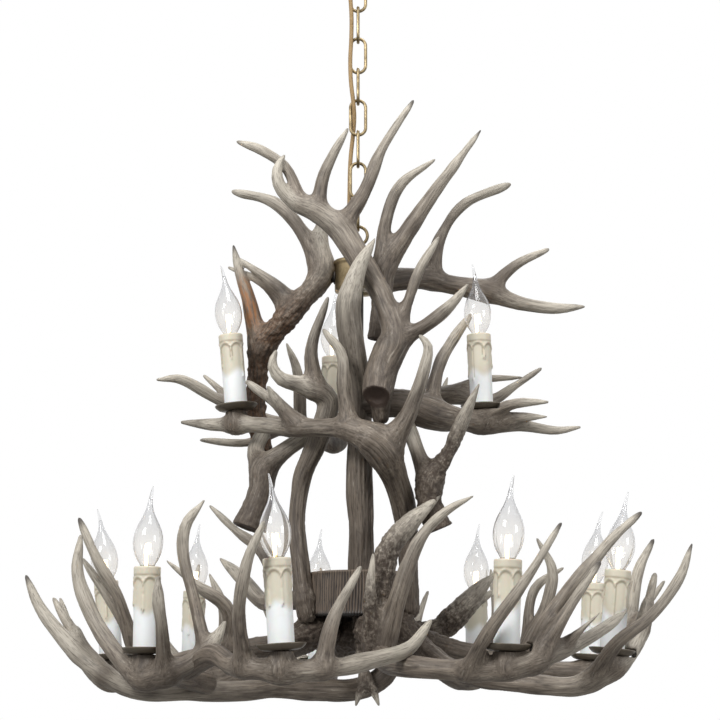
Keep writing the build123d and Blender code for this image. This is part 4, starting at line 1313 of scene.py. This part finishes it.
# ------------------------------------------------------------------ candles
@dataclass
class Candles:
    """Twelve electric candles: drip plates, sleeves with wax drips, lamp holders and flame lamps."""

    sleeve_length = 96.0
    sleeve_radius: float = 15.0
    sleeve_bore: float = 13.4
    holder_top: float = 93.0
    bulb_radius: float = 17.5
    bulb_length: float = 90.0
    drawn_tip: float = 4.5            # how far the thread of glass runs on past the flame shape
    wire_radius: float = 1.15
    sides: int = 72
    arches: int = 6                   # scallops of wax round a sleeve
    first_seed: int = 3

    def sleeve(self, seed: int) -> tuple[Array, Faces, Array]:
        """One sleeve with a rim band, scalloped arches and drips.

        Args:
            seed: chooses the drips.

        Returns:
            Points, faces and the coat attribute, whose second value is painted shade under the wax lips and
            along the drips.
        """
        chance = np.random.default_rng(seed)
        angle, count = angles(self.sides), self.arches
        h = np.concatenate([[0.0, 0.6], np.linspace(3.0, 34.0, 9), np.linspace(36.0, 96.0, 52)])[:, None]
        turn = chance.uniform(0, math.tau)
        around = (angle + turn) / math.tau * count
        place, number = around % 1.0, (around % count).astype(int)
        arch_edge = 74.0 + 10.0 * np.sqrt(unit(1.0 - (2.0 * place - 1.0) ** 2))
        ends = chance.uniform(34.0, 66.0, count)
        width = chance.uniform(0.10, 0.17, count)
        foot = np.minimum(place, 1.0 - place)
        owner = np.where(place < 0.5, number, (number + 1) % count)
        end = ends[owner]
        pinch = end + 5.0 + chance.uniform(6, 14, count)[owner]
        rim = step(86.6, 88.0, h) * np.ones(self.sides)
        above = step(-1.0, 0.8, h - arch_edge)
        narrow = width[owner] * unit((h - end + 3.0) / 6.0) ** 0.5
        drip = step(1.0, 0.55, foot / np.maximum(narrow, 1e-3)) * (h > end - 3.0) * (h < 80.0)
        film = step(40.0, 52.0, h + 4.0 * np.sin(3 * angle + turn))
        thick = (0.75 * rim + 0.55 * above * (1.0 - rim) + drip * (1.0 - 0.5 * hump(h, pinch, 2.2))
                 + 0.6 * drip * hump(h, end, 3.2) + 0.85 * hump(h, arch_edge, 1.5) * (h < 87)
                 - 0.25 * (1.0 - film))
        thick[-1] *= 0.4
        out = self.sleeve_radius - 0.35 + np.clip(thick, -0.4, 1.5)
        outer = np.stack([out * np.cos(angle), out * np.sin(angle), np.broadcast_to(h, out.shape)], axis=2)
        inner = [circle(self.sleeve_bore, angle, z) for z in (95.6, 60.0, 0.0)]
        verts = np.vstack([outer.reshape(-1, 3), *inner])
        faces = ring_faces(len(h) + len(inner), self.sides, True)
        # painted shade: darker just under the arches' lips, under the rim band and along the drips' flanks
        edge = unit(hump(h, arch_edge - 2.2, 1.5) * (h < 87.5) * 0.9 + hump(h, 86.2, 1.2) * 0.9
                    + (drip > 0.08) * (drip < 0.7) * 0.8)
        coat = np.stack([film, edge, rim], axis=2).reshape(-1, 3)
        coat = np.vstack([coat, np.tile([1.0, 0.0, 0.0], (3 * self.sides, 1))])
        return verts, faces, coat

    def plate(self) -> Shell:
        """One drip plate with its cup, rolled rim and threaded tube."""
        profile = [(0, -22), (5.5, -22), (7.2, -20.5), (7.5, -4), (8.5, -1.9), (18.5, -1.7), (22.5, -0.4),
                   (25.6, 2.3), (26.7, 3.9), (27.0, 4.8), (26.7, 5.3), (26.2, 5.2), (25.0, 3.7), (22.2, 1.2),
                   (18.6, 0.0), (5.4, 0.0), (5.0, 0.6), (5.0, 41.0), (0, 41.0)]
        return lathe(profile, 64)

    def holder(self) -> Shell:
        """One lamp holder: ribbed collar over a plain body, with a bore for the cap."""
        top = self.holder_top
        profile = [(7.6, top - 51), (11.4, top - 52), (12.0, top - 51), (12.0, top - 12)]
        for rib in range(4):
            low = top - 11.5 + rib * 2.6
            profile += [(11.3, low), (11.3, low + 0.9), (12.0, low + 1.3), (12.0, low + 2.2)]
        profile += [(11.6, top), (7.6, top), (7.4, top - 1.0), (7.4, top - 25.4), (4.0, top - 26.0),
                    (4.0, top - 51.0)]
        return lathe(profile, 48)

    def glass(self, bend: float) -> tuple[Array, Faces, Array]:
        """One flame glass: an outer skin and an inner one, its tip drawn out and bent.

        Args:
            bend: how far the tip leans sideways.

        Returns:
            Points, faces and the glow attribute.
        """
        # share of the length, and share of the radius there
        stops = np.array([(0.0, 0.40), (0.03, 0.44), (0.075, 0.60), (0.14, 0.80), (0.22, 0.94), (0.31, 1.0),
                          (0.40, 0.96), (0.49, 0.82), (0.58, 0.58), (0.66, 0.36), (0.74, 0.21), (0.83, 0.13),
                          (0.92, 0.09), (0.97, 0.075), (1.0, 0.03)])
        up = np.concatenate([np.linspace(0.0, 0.93, 44), [0.95, 0.965, 0.98, 0.99, 0.997]])
        bottom, wall, sides = self.holder_top + 1.0, 0.7, 48

        def wide(share: Array) -> Array:
            """Radius at a share of the length, rounded between the stops."""
            close = [np.interp(np.clip(share + shift, 0, 1), stops[:, 0], stops[:, 1])
                     for shift in (-0.03, -0.015, 0.0, 0.015, 0.03)]
            return self.bulb_radius * np.mean(close, axis=0)

        def skin_at(shrink: float, shares: Array) -> Array:
            """One skin's rows of points and its two poles.

            Args:
                shrink: how far it lies inside the outer skin.
                shares: each row's share of the length.

            Returns:
                (n, 3) points, the lower pole and the upper pole last.
            """
            radius = np.maximum(wide(shares) - shrink, 0.25)
            aside = bend * shares ** 3 + 0.25 * bend * np.sin(shares * math.pi * 2.0) * shares ** 2
            rows = [circle(r, angles(sides), bottom + z) + [s, 0, 0]
                    for r, s, z in zip(radius, aside, shares * (self.bulb_length + self.drawn_tip))]
            poles = [[aside[0], 0, rows[0][0, 2]], [aside[-1], 0, rows[-1][0, 2] + 0.3]]
            return np.vstack([*rows, poles])

        verts, faces = [], []
        for inward, shares in ((False, up), (True, up[1:-9])):
            start = sum(len(part) for part in verts)
            part = skin_at(wall if inward else 0.0, shares)
            faces += [tuple(corner + start for corner in (reversed(face) if inward else face))
                      for face in poled_faces(len(shares), sides)]
            verts.append(part)
        points = np.vstack(verts)
        # painted glow: strongest on the glass nearest the filament, fading outwards
        away = np.linalg.norm((points - [0, 0, bottom + 27.0]) / [1.0, 1.0, 1.35], axis=1)
        glow = np.exp(-(np.clip(away - 5.0, 0, None) / 8.0) ** 1.5)
        return points, faces, np.column_stack([glow, glow, glow])

    def cap(self) -> Shell:
        """One screw cap with its rolled thread and solder tip."""
        top = self.holder_top
        profile = [(0, top - 25.0), (2.2, top - 25.0), (2.6, top - 24.0), (5.2, top - 22.4)]
        for turn in range(5):
            low = top - 21.5 + turn * 3.4
            profile += [(6.1, low), (6.9, low + 1.2), (6.9, low + 1.9), (6.2, low + 3.0)]
        profile += [(6.8, top - 2.0), (7.0, top + 0.8), (7.0, top + 2.4), (0, top + 2.4)]
        return lathe(profile, 32)

    def filament(self, bend: float) -> tuple[Array, Array]:
        """Path of the lit wire, a zigzag round the glass mount.

        Args:
            bend: the lamp's bend, which turns the wire a little.

        Returns:
            The wire's points and the mount's points.
        """
        middle, swing, zigzags = self.holder_top + 24.0, 5.4, 3.0
        t = np.linspace(0.0, 1.0, 90)
        sweep = (t - 0.5) * math.pi * 1.7 + bend * 0.2
        radius = 3.0 + 0.4 * np.cos(t * math.tau * 2)
        coil = np.column_stack([radius * np.cos(sweep), radius * np.sin(sweep),
                                middle + swing * np.sin(t * math.tau * zigzags)])
        share = np.linspace(0.0, 1.0, 12)[:, None]
        left, right = coil[0] * [0.7, 0.7, 0.0], coil[-1] * [0.7, 0.7, 0.0]
        left[2] = right[2] = self.holder_top + 2.0
        wire = np.vstack([left + (coil[0] - left) * share[:-1], coil,
                          coil[-1] + (right - coil[-1]) * share[1:]])
        mount = np.array([[0, 0, self.holder_top + rise] for rise in (1.0, 4.0, 7.0)])
        return wire, mount

    def dress(self, wax: Material, paint: Material, plastic: Material,
              glass: Material, cap: Material, lit: Material) -> None:
        """Builds every candle's pieces, each lamp's on its own body.

        Args:
            wax: the sleeves' finish.
            paint: the plates' finish.
            plastic: the holders' finish.
            glass: the lamps' glass.
            cap: the lamps' caps.
            lit: the lamps' filaments.
        """
        sleeves, plates, holders = Batch(), Batch(), Batch()
        for number, name in enumerate(CANDLES):
            sleeves.stand(name, *self.sleeve(number + self.first_seed))
            plates.stand(name, *self.plate())
            holders.stand(name, *self.holder())
            self.lamp(name, glass, cap, lit)
        sleeves.dress("sleeves_with_drips", wax, "chandelier", "wax", "candle_sleeves", attribute="coat")
        plates.dress("dished_plates", paint, "chandelier", "bronze_paint", "drip_plates")
        holders.dress("ribbed_holders", plastic, "chandelier", "holder_plastic", "lamp_holders")

    def lamp(self, name: str, glass: Material, cap: Material, lit: Material) -> None:
        """Builds one lamp's glass, cap and filament.

        Args:
            name: the candle.
            glass: the glass finish.
            cap: the cap's finish.
            lit: the filament's finish.
        """
        bend, body = CANDLES[name][4], f"lamp_{name}"
        wire, mount = self.filament(bend)
        shell, metal, glowing = Batch(), Batch(), Batch()
        shell.stand(name, *self.glass(bend))
        metal.stand(name, *self.cap())
        metal.stand(name, *tube(mount, np.array([2.6, 1.6, 0.9]), 12))
        glowing.stand(name, *tube(wire, self.wire_radius, 8))
        shell.dress(f"flame_glass_{name}", glass, body, "clear_glass", f"bulb_{name}", attribute="glow")
        metal.dress(f"screw_cap_{name}", cap, body, "aged_brass")
        glowing.dress(f"filament_{name}", lit, body, "clear_glass")


# ------------------------------------------------------------------ hubs and drum
@dataclass
class Drum:
    """Resin drum cast like bark, round the foot of the centre tube."""

    radius: float = 62.0
    height: float = 55.0
    furrow_pitch: float = 3.5
    furrow_depth: float = 1.9
    seed: int = 41
    sides: int = 420
    rows: int = 34

    def dress(self, material: Material) -> None:
        """Builds the drum's furrowed wall and smooth ends.

        Args:
            material: its finish.
        """
        sides = self.sides
        angle = angles(sides)
        across = self.radius / self.furrow_pitch * 0.9
        turns = round(math.tau * self.radius / self.furrow_pitch)
        low_lid = [(8.0, 0.7), (self.radius - 20, 0.7), (self.radius - 8, 0.4)]
        rows = [circle(radius, angle, DRUM + rise) for radius, rise in low_lid]
        values = [np.tile([0.6, 1.0, 0.0], (sides, 1))] * len(low_lid)
        for h in np.linspace(0.0, self.height, self.rows):
            even = 0.5 - 0.5 * np.cos(angle * turns + 1.4 * np.sin(h / 14.0 + 3 * angle))
            furrow = furrows(circle(across, angle, h / 32.0), self.seed)
            lip = step(6.0, 1.5, h) + step(self.height - 4.0, self.height - 0.5, h)
            depth = unit(0.75 * even ** 1.5 + 0.6 * furrow) * (1.0 - 0.6 * min(float(lip), 1.0))
            edge = 1.1 * float(step(2.0, 0.0, h) + step(self.height - 1.5, self.height, h))
            rows.append(circle(self.radius - edge - self.furrow_depth * depth, angle, DRUM + h))
            values.append(np.column_stack([depth, np.full(sides, float(step(7.0, 2.0, h))), depth]))
        rows += [circle(radius, angle, DRUM + self.height - fall) for radius, fall in reversed(low_lid)]
        values += [np.tile([0.4, 0.0, 0.0], (sides, 1))] * len(low_lid)
        verts = np.vstack(rows)
        faces = ring_faces(len(rows), sides, False)
        faces += [tuple(reversed(range(sides))), tuple(range(len(verts) - sides, len(verts)))]
        batch = Batch()
        batch.add(verts, faces, np.vstack(values))
        batch.dress("bark_drum", material, "chandelier", "drum_resin", "lower_drum", attribute="bark")


@dataclass
class Fittings:
    """Turned and forged metal: hub, screw loops, canopy and the washers beside the hub."""

    wire: float = 4.2
    loop_inner: float = 10.0
    hub_radius: float = 30.0
    hub_height: float = 40.0
    thread_pitch: float = 1.5
    side_bolts: tuple[float, ...] = (4.0, -41.0, 180.0)     # degrees round the hub

    def hub(self) -> Batch:
        """Upper hub with its stepped rim and turned grooves."""
        low, r = HUB - self.hub_height / 2, self.hub_radius
        top = low + self.hub_height
        return Batch.of(lathe([
            (7.4, low), (r - 1.6, low), (r - 0.4, low + 0.5), (r, low + 1.6), (r, low + 9),
            (r - 0.5, low + 9.6), (r - 0.5, low + 10.6), (r, low + 11.2), (r, top - 8.0),
            (r + 0.4, top - 6.4), (r + 1.7, top - 4.8), (r + 2.0, top - 3.8), (r + 2.0, top - 1.2),
            (r + 1.2, top - 0.2), (r - 2.0, top), (5.2, top), (5.2, top - 9.8), (7.4, top - 10.4)], 96))

    def loop(self, centre: float, crosswise: bool, stem: tuple[float, float], collar: tuple[float, float],
             nut: tuple[float, float] | None = None) -> Batch:
        """Screw loop: ring, threaded stem, turned collar and, above a bracket, its lock nut.

        Args:
            centre: height of the ring's middle.
            crosswise: whether the ring stands across the view.
            stem: lowest and highest height of the stem.
            collar: lowest and highest height of the collar.
            nut: lowest and highest height of the nut.

        Returns:
            The loop's shells.
        """
        angle, zero = angles(48), np.zeros(48)
        reach = self.loop_inner + self.wire / 2
        x, y = (zero, reach * np.cos(angle)) if crosswise else (reach * np.cos(angle), zero)
        ring = np.column_stack([x, y, reach * np.sin(angle)]) + [0, 0, centre]
        low, high = stem
        thread: list[tuple[float, float]] = [(0, low), (4.4, low)]
        for turn in range(int((high - low - 1.0) / self.thread_pitch)):
            base = low + 0.5 + turn * self.thread_pitch
            thread += [(4.5, base), (5.0, base + 0.5), (5.0, base + 0.9), (4.5, base + 1.4)]
        thread += [(4.4, high), (0, high)]
        low, high = collar
        rise = high - low
        turned = [(4.2, low), (8.8, low), (10.0, low + 0.2 * rise), (10.0, low + 0.45 * rise),
                  (7.4, low + 0.6 * rise), (7.8, low + 0.8 * rise), (6.4, high), (4.2, high)]
        shells = [tube(ring, self.wire / 2, 16, closed=True), lathe(thread, 32), lathe(turned, 48)]
        if nut:
            low, high = nut
            hexagon = [(4.4, low), (9.0, low), (9.8, low + 0.8), (9.8, high - 0.8), (9.0, high), (4.4, high)]
            shells.append(lathe(hexagon, 6))
        return Batch.of(*shells)

    def canopy(self) -> Batch:
        """Bell-shaped ceiling canopy, spun from thin sheet."""
        # radius, and drop below the ceiling
        drops = [(60.0, 0.0), (60.0, 2.6), (59.2, 4.4), (56.6, 7.6), (52.0, 11.2), (45.0, 14.6), (37.0, 18.2),
                 (30.0, 21.6), (25.0, 24.4), (22.4, 26.8), (21.4, 27.9), (20.0, 28.0), (6.0, 28.0)]
        outside = [(r, CEILING - drop) for r, drop in reversed(drops)]
        inside = [(r - 1.2 if r > 7 else r, CEILING - max(drop - 1.2, 0.0)) for r, drop in drops]
        return Batch.of(lathe(outside + inside, 96))

    def washers(self) -> Batch:
        """Dark spacers between the hub and the antlers bolted to its side."""
        reach = np.array([28.5, 31.0, 31.2, 33.4, 33.6, 38.0])[:, None]
        radius = np.array([9.5, 9.5, 7.5, 7.5, 8.6, 8.6])
        ways = [[math.cos(math.radians(turn)), math.sin(math.radians(turn)), 0.0] for turn in self.side_bolts]
        return Batch.of(*[tube(np.array([way]) * reach + [0, 0, HUB], radius, 24) for way in ways])

    def dress(self, brass: Material, dark: Material) -> None:
        """Builds the fittings.

        Args:
            brass: finish of the hub, the loops and the canopy.
            dark: finish of the spacers.
        """
        low_loop = self.loop(600.6, False, (556.0, 590.5), (566.0, 574.0))
        high_loop = self.loop(961.9, True, (972.0, 1010.0), (974.2, 982.0), (1002.0, 1007.0))
        self.hub().dress("turned_hub", brass, "chandelier", "aged_brass", "upper_hub")
        low_loop.dress("lower_screw_loop", brass, "chandelier", "aged_brass", "top_loop")
        high_loop.dress("upper_screw_loop", brass, "ceiling", "aged_brass", "canopy_loop")
        self.canopy().dress("spun_canopy", brass, "ceiling", "aged_brass", "canopy")
        self.washers().dress("hub_spacers", dark, "chandelier", "dark_steel")


# ------------------------------------------------------------------ chain
@dataclass
class Chain:
    """Oval links of round wire, each a quarter turn from the last, made by one geometry tree."""

    inner_length: float = 43.0
    inner_width: float = 15.6
    wire: float = 4.2
    pitch: float = 42.7
    first_centre: float = 930.7

    def tree(self) -> bpy.types.GeometryNodeTree:
        """Builds the tree: one link, set out on a row of points."""
        group = bpy.data.node_groups.new("chain_run", "GeometryNodeTree")
        tree = Tree(group)
        kinds = {"Count": "NodeSocketInt", "Finish": "NodeSocketMaterial"}
        for name in ("Inner Length", "Inner Width", "Wire", "Pitch", "Count", "Top", "First Turn", "Finish"):
            group.interface.new_socket(name, in_out="INPUT", socket_type=kinds.get(name, "NodeSocketFloat"))
        group.interface.new_socket("Geometry", in_out="OUTPUT", socket_type="NodeSocketGeometry")
        entry = group.nodes.new("NodeGroupInput")

        def given(name: str) -> Socket:
            """One of the tree's inputs."""
            return Socket(tree, entry.outputs[name])

        wire = given("Wire")
        wide = given("Inner Width") + wire
        oval = tree.node("GeometryNodeCurvePrimitiveQuadrilateral", {},
                         {"Width": wide, "Height": given("Inner Length") + wire})
        oval = tree.node("GeometryNodeFilletCurve", {"mode": "POLY"},
                         {"Curve": oval, "Radius": wide * 0.499, "Count": 12, "Limit Radius": True})
        oval = tree.node("GeometryNodeResampleCurve", {"mode": "COUNT"}, {"Curve": oval, "Count": 72})
        section = tree.node("GeometryNodeCurvePrimitiveCircle", {}, {"Resolution": 16, "Radius": wire * 0.5})
        link = tree.node("GeometryNodeCurveToMesh", {}, {"Curve": oval, "Profile Curve": section})
        upright = tree.node("GeometryNodeTransform", {}, {"Geometry": link, "Rotation": (math.pi / 2, 0, 0)})
        start = tree.node("ShaderNodeCombineXYZ", {}, {"Z": given("Top")})
        fall = tree.node("ShaderNodeCombineXYZ", {}, {"Z": given("Pitch") * -1.0})
        row = tree.node("GeometryNodeMeshLine", {}, {"Count": given("Count"), "Start Location": start,
                                                     "Offset": fall})
        index = tree.node("GeometryNodeInputIndex")
        turn = tree.node("ShaderNodeCombineXYZ", {}, {"Z": (index + given("First Turn")) * (math.pi / 2)})
        links = tree.node("GeometryNodeInstanceOnPoints", {},
                          {"Points": row, "Instance": upright, "Rotation": turn})
        solid = tree.node("GeometryNodeRealizeInstances", {}, {"Geometry": links})
        smooth = tree.node("GeometryNodeSetShadeSmooth", {}, {"Geometry": solid})
        finished = tree.node("GeometryNodeSetMaterial", {}, {"Geometry": smooth, "Material": given("Finish")})
        tree.node("NodeGroupOutput", {}, {"Geometry": finished})
        return group

    def dress(self, brass: Material) -> None:
        """Makes the links of each chain body from the one tree.

        Args:
            brass: the links' finish.
        """
        group = self.tree()
        for name, body, first, count in (("first_link", "chain_top", 1, 1),
                                         ("straight_links", "chain_run", 2, 6),
                                         ("last_link", "chain_bottom", 8, 1)):
            maker = linked(f"{name}_maker", bpy.data.meshes.new(f"{name}_maker"))
            modifier = maker.modifiers.new("links", "NODES")
            modifier.node_group = group
            top = (self.first_centre - self.pitch * (first - 1) - CEILING) * 0.001
            values = {"Inner Length": self.inner_length * 0.001, "Inner Width": self.inner_width * 0.001,
                      "Wire": self.wire * 0.001, "Pitch": self.pitch * 0.001, "Count": count, "Top": top,
                      "First Turn": float(first - 1), "Finish": brass}
            for item in group.interface.items_tree:
                if item.in_out == "INPUT":
                    modifier[item.identifier] = values[item.name]
            mesh = solved(maker)
            mesh.name = name
            log.info("%s: %d faces", name, len(mesh.polygons))
            declare(linked(name, mesh), body, "aged_brass",
                    *[f"chain_link_{number}" for number in range(first, first + count)])


# ------------------------------------------------------------------ lead
@dataclass
class Lead:
    """Woven lead down through the chain, in a stretch for each chain body."""

    diameter: float = 5.5
    route: tuple[Point, ...] = (
        (-14, -6, 998), (-13.6, -6.3, 957), (-8.4, -6.6, 905), (-8.8, -5.8, 866), (-10.6, -6.3, 838),
        (-9.6, -6.2, 806), (-6.0, -5.9, 779), (-4.6, -0.2, 760), (-6.2, 5.9, 741), (-10.6, 5.8, 702),
        (-11.2, 5.7, 650), (-12.6, 7.0, 612), (-15.8, 6.9, 584), (-16, 7, 556))
    # node, first and last run, length, the body it leaves, the body it reaches, and heights of its bend
    stretches: tuple[tuple[str, int, int, float, str, str, float, float], ...] = (
        ("cord_top", 0, 1, 67.1, "ceiling", "chain_top", 964.0, 936.0),
        ("cord_upper", 1, 2, 45.6, "chain_top", "chain_run", 921.0, 892.0),
        ("cord_run", 2, 9, 211.6, "chain_run", "", 0.0, 0.0),
        ("cord_lower", 9, 10, 45.0, "chain_run", "chain_bottom", 665.0, 637.0),
        ("cord_hub", 10, 12, 75.2, "chain_bottom", "chandelier", 624.0, 592.0))

    def middle_line(self, first: int, last: int) -> Array:
        """Smooth line of one stretch, read from a NURBS spline with the route's points.

        Args:
            first: number of its first run.
            last: number of its last run.

        Returns:
            (n, 3) points in metres in the frame.
        """
        points = placed(np.array(self.route))
        start = points[0] if first == 0 else (points[first] + points[first + 1]) / 2
        end = points[-1] if last == len(points) - 2 else (points[last] + points[last + 1]) / 2
        controls = np.vstack([start, points[first + 1:last + 1], end])
        curve = bpy.data.curves.new("lead_line", "CURVE")
        curve.dimensions = "3D"
        curve.resolution_u = 16
        spline = curve.splines.new("NURBS")
        spline.points.add(len(controls) - 1)
        for point, place in zip(spline.points, controls):
            point.co = (*place, 1.0)
        spline.order_u = 3
        spline.use_endpoint_u = True
        return np.array([vertex.co for vertex in solved(linked("lead_line", curve)).vertices])

    def dress(self, braid: Material) -> None:
        """Args:
            braid: the lead's finish.
        """
        sides = 20
        for node, first, last, length, body, further, bend_top, bend_low in self.stretches:
            line = self.middle_line(first, last)
            verts, faces = tube(line, self.diameter * 0.0005, sides)
            piece = smooth_piece(f"woven_{node}", verts, faces, braid)
            run = np.concatenate([[0.0], np.cumsum(np.linalg.norm(np.diff(line, axis=0), axis=1))]) * 1000.0
            layer = piece.data.uv_layers.new(name="around")
            corners = np.zeros(len(piece.data.loops), dtype=np.int32)
            piece.data.loops.foreach_get("vertex_index", corners)
            around, along = (corners % sides) / sides, run[corners // sides]
            starts = np.zeros(len(piece.data.polygons), dtype=np.int32)
            piece.data.polygons.foreach_get("loop_start", starts)
            for begin in starts[:(len(line) - 1) * sides]:
                four = around[begin:begin + 4]
                if four.max() - four.min() > 0.5:
                    four[four < 0.5] += 1.0
            layer.data.foreach_set("uv", np.column_stack([around, along]).astype(np.float32).ravel())
            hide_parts(node)
            if further:
                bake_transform(piece)
            else:
                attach(piece, body)


# ------------------------------------------------------------------ studio
@dataclass
class Studio:
    """Grey floor, soft lamps, white surroundings and the photograph's camera."""

    floor_height: float = -2.4
    floor_half: float = 4.0
    aim: Point = (0.0, 0.0, -0.7)     # what the lamps point at
    eye: Point = (0.0025, -2.25, -1.010)
    pitch_up: float = 11.0
    lens: float = 90.0

    def camera(self) -> None:
        """Sets the camera where the photograph was taken from."""
        data = bpy.data.cameras.new("camera")
        data.lens = self.lens
        data.sensor_width = 36.0
        data.clip_start = 0.05
        data.clip_end = 60.0
        made = linked("camera", data)
        made.location = self.eye
        made.rotation_euler = (math.radians(90.0 + self.pitch_up), 0.0, 0.0)
        bpy.context.scene.camera = made

    def lamp(self, name: str, place: Point, size: float, power: float) -> None:
        """Adds one soft square lamp.

        Args:
            name: the lamp's name.
            place: where it stands.
            size: length of its side.
            power: its power in watts.
        """
        data = bpy.data.lights.new(name, "AREA")
        data.size = size
        data.energy = power
        made = linked(name, data)
        made.location = place
        made.rotation_euler = (Vector(self.aim) - Vector(place)).to_track_quat("-Z", "Y").to_euler()

    def surroundings(self) -> None:
        """White for the camera, for gloss and through glass; softer grey light on everything else."""
        world = bpy.data.worlds.new("surroundings")
        world.use_nodes = True
        bpy.context.scene.world = world
        tree = Tree(world.node_tree)
        seen = [tree.node("ShaderNodeLightPath", {}, {}, out=name)
                for name in ("Is Camera Ray", "Is Glossy Ray", "Is Transmission Ray")]
        direct = seen[0].maths("MINIMUM", seen[0] + seen[1] + seen[2], 1.0)
        way = tree.node("ShaderNodeTexCoord", out="Generated")
        height = tree.node("ShaderNodeSeparateXYZ", {}, {"Vector": way}, out="Z")
        soft, white = [tree.node("ShaderNodeBackground", {}, {"Color": (1, 1, 1, 1), "Strength": strength})
                       for strength in (height * 0.16 + 0.19, 1.0)]
        both = tree.node("ShaderNodeMixShader", {}, {0: direct, 1: soft, 2: white})
        tree.node("ShaderNodeOutputWorld", {}, {"Surface": both})

    def build(self) -> None:
        """Sets up the whole studio."""
        bpy.context.scene.view_settings.view_transform = "Standard"
        self.camera()
        self.surroundings()
        self.lamp("key", (-1.7, -2.4, 1.0), 1.0, 90.0)
        self.lamp("back", (0.6, 2.2, 2.0), 1.0, 26.0)
        self.lamp("fill", (2.4, -1.8, -0.2), 1.0, 26.0)
        self.lamp("top", (0.2, -0.9, 1.4), 1.1, 30.0)
        half = self.floor_half
        corners = np.array([[x, y, self.floor_height] for x, y in
                            ((-half, -half), (half, -half), (half, half), (-half, half))])
        finish = PlainFinish("grey_floor", srgb(176, 175, 173), srgb(168, 167, 165), 0.7, scale=3.0)
        floor = smooth_piece("floor", corners, [(0, 1, 2, 3)], finish.material())


def dress_kept_nodes(frame: dict[str, Any], finishes: dict[str, Material]) -> None:
    """Gives the solids that stay in sight their materials.

    Args:
        frame: the loaded frame.
        finishes: material of each node.
    """
    for node, material in finishes.items():
        mesh = frame["nodes"][node].data
        mesh.materials.clear()
        mesh.materials.append(material)
        log.info("%s keeps its solid", node)


def main() -> None:
    """Builds every piece round the frame."""
    logging.basicConfig(level=logging.INFO, format="%(name)s %(message)s", force=True)
    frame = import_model()
    Studio().build()
    Lead().dress(BraidFinish().material())
    brass = MetalFinish("aged_brass", srgb(150, 134, 104), srgb(92, 80, 60), 0.7, 0.36).material()
    dark = MetalFinish("dark_steel", srgb(70, 66, 62), srgb(40, 37, 35), 0.6, 0.42).material()
    Chain().dress(brass)
    Fittings().dress(brass, dark)
    Drum().dress(BarkFinish().material())
    Candles().dress(
        wax=WaxFinish().material(),
        paint=MetalFinish("bronze_paint", srgb(98, 90, 78), srgb(58, 52, 45), 0.5, 0.38, 0.55).material(),
        plastic=PlainFinish("holder_plastic", srgb(238, 236, 230), srgb(226, 222, 212), 0.4).material(),
        glass=GlassFinish().material(),
        cap=MetalFinish("lamp_cap", srgb(190, 170, 120), srgb(150, 128, 84), 0.3, 0.25).material(),
        lit=GlowFinish().material())
    antler = AntlerFinish().material()
    for piece in ANTLERS:
        piece.dress(antler)
    zinc = MetalFinish("zinc_steel", srgb(190, 190, 188), srgb(140, 140, 138), 0.4, 0.3).material()
    dress_kept_nodes(frame, {"centre_tube": dark, "antler_bolts": dark, "ceiling_bracket": zinc})


if __name__ == "__main__":
    main()
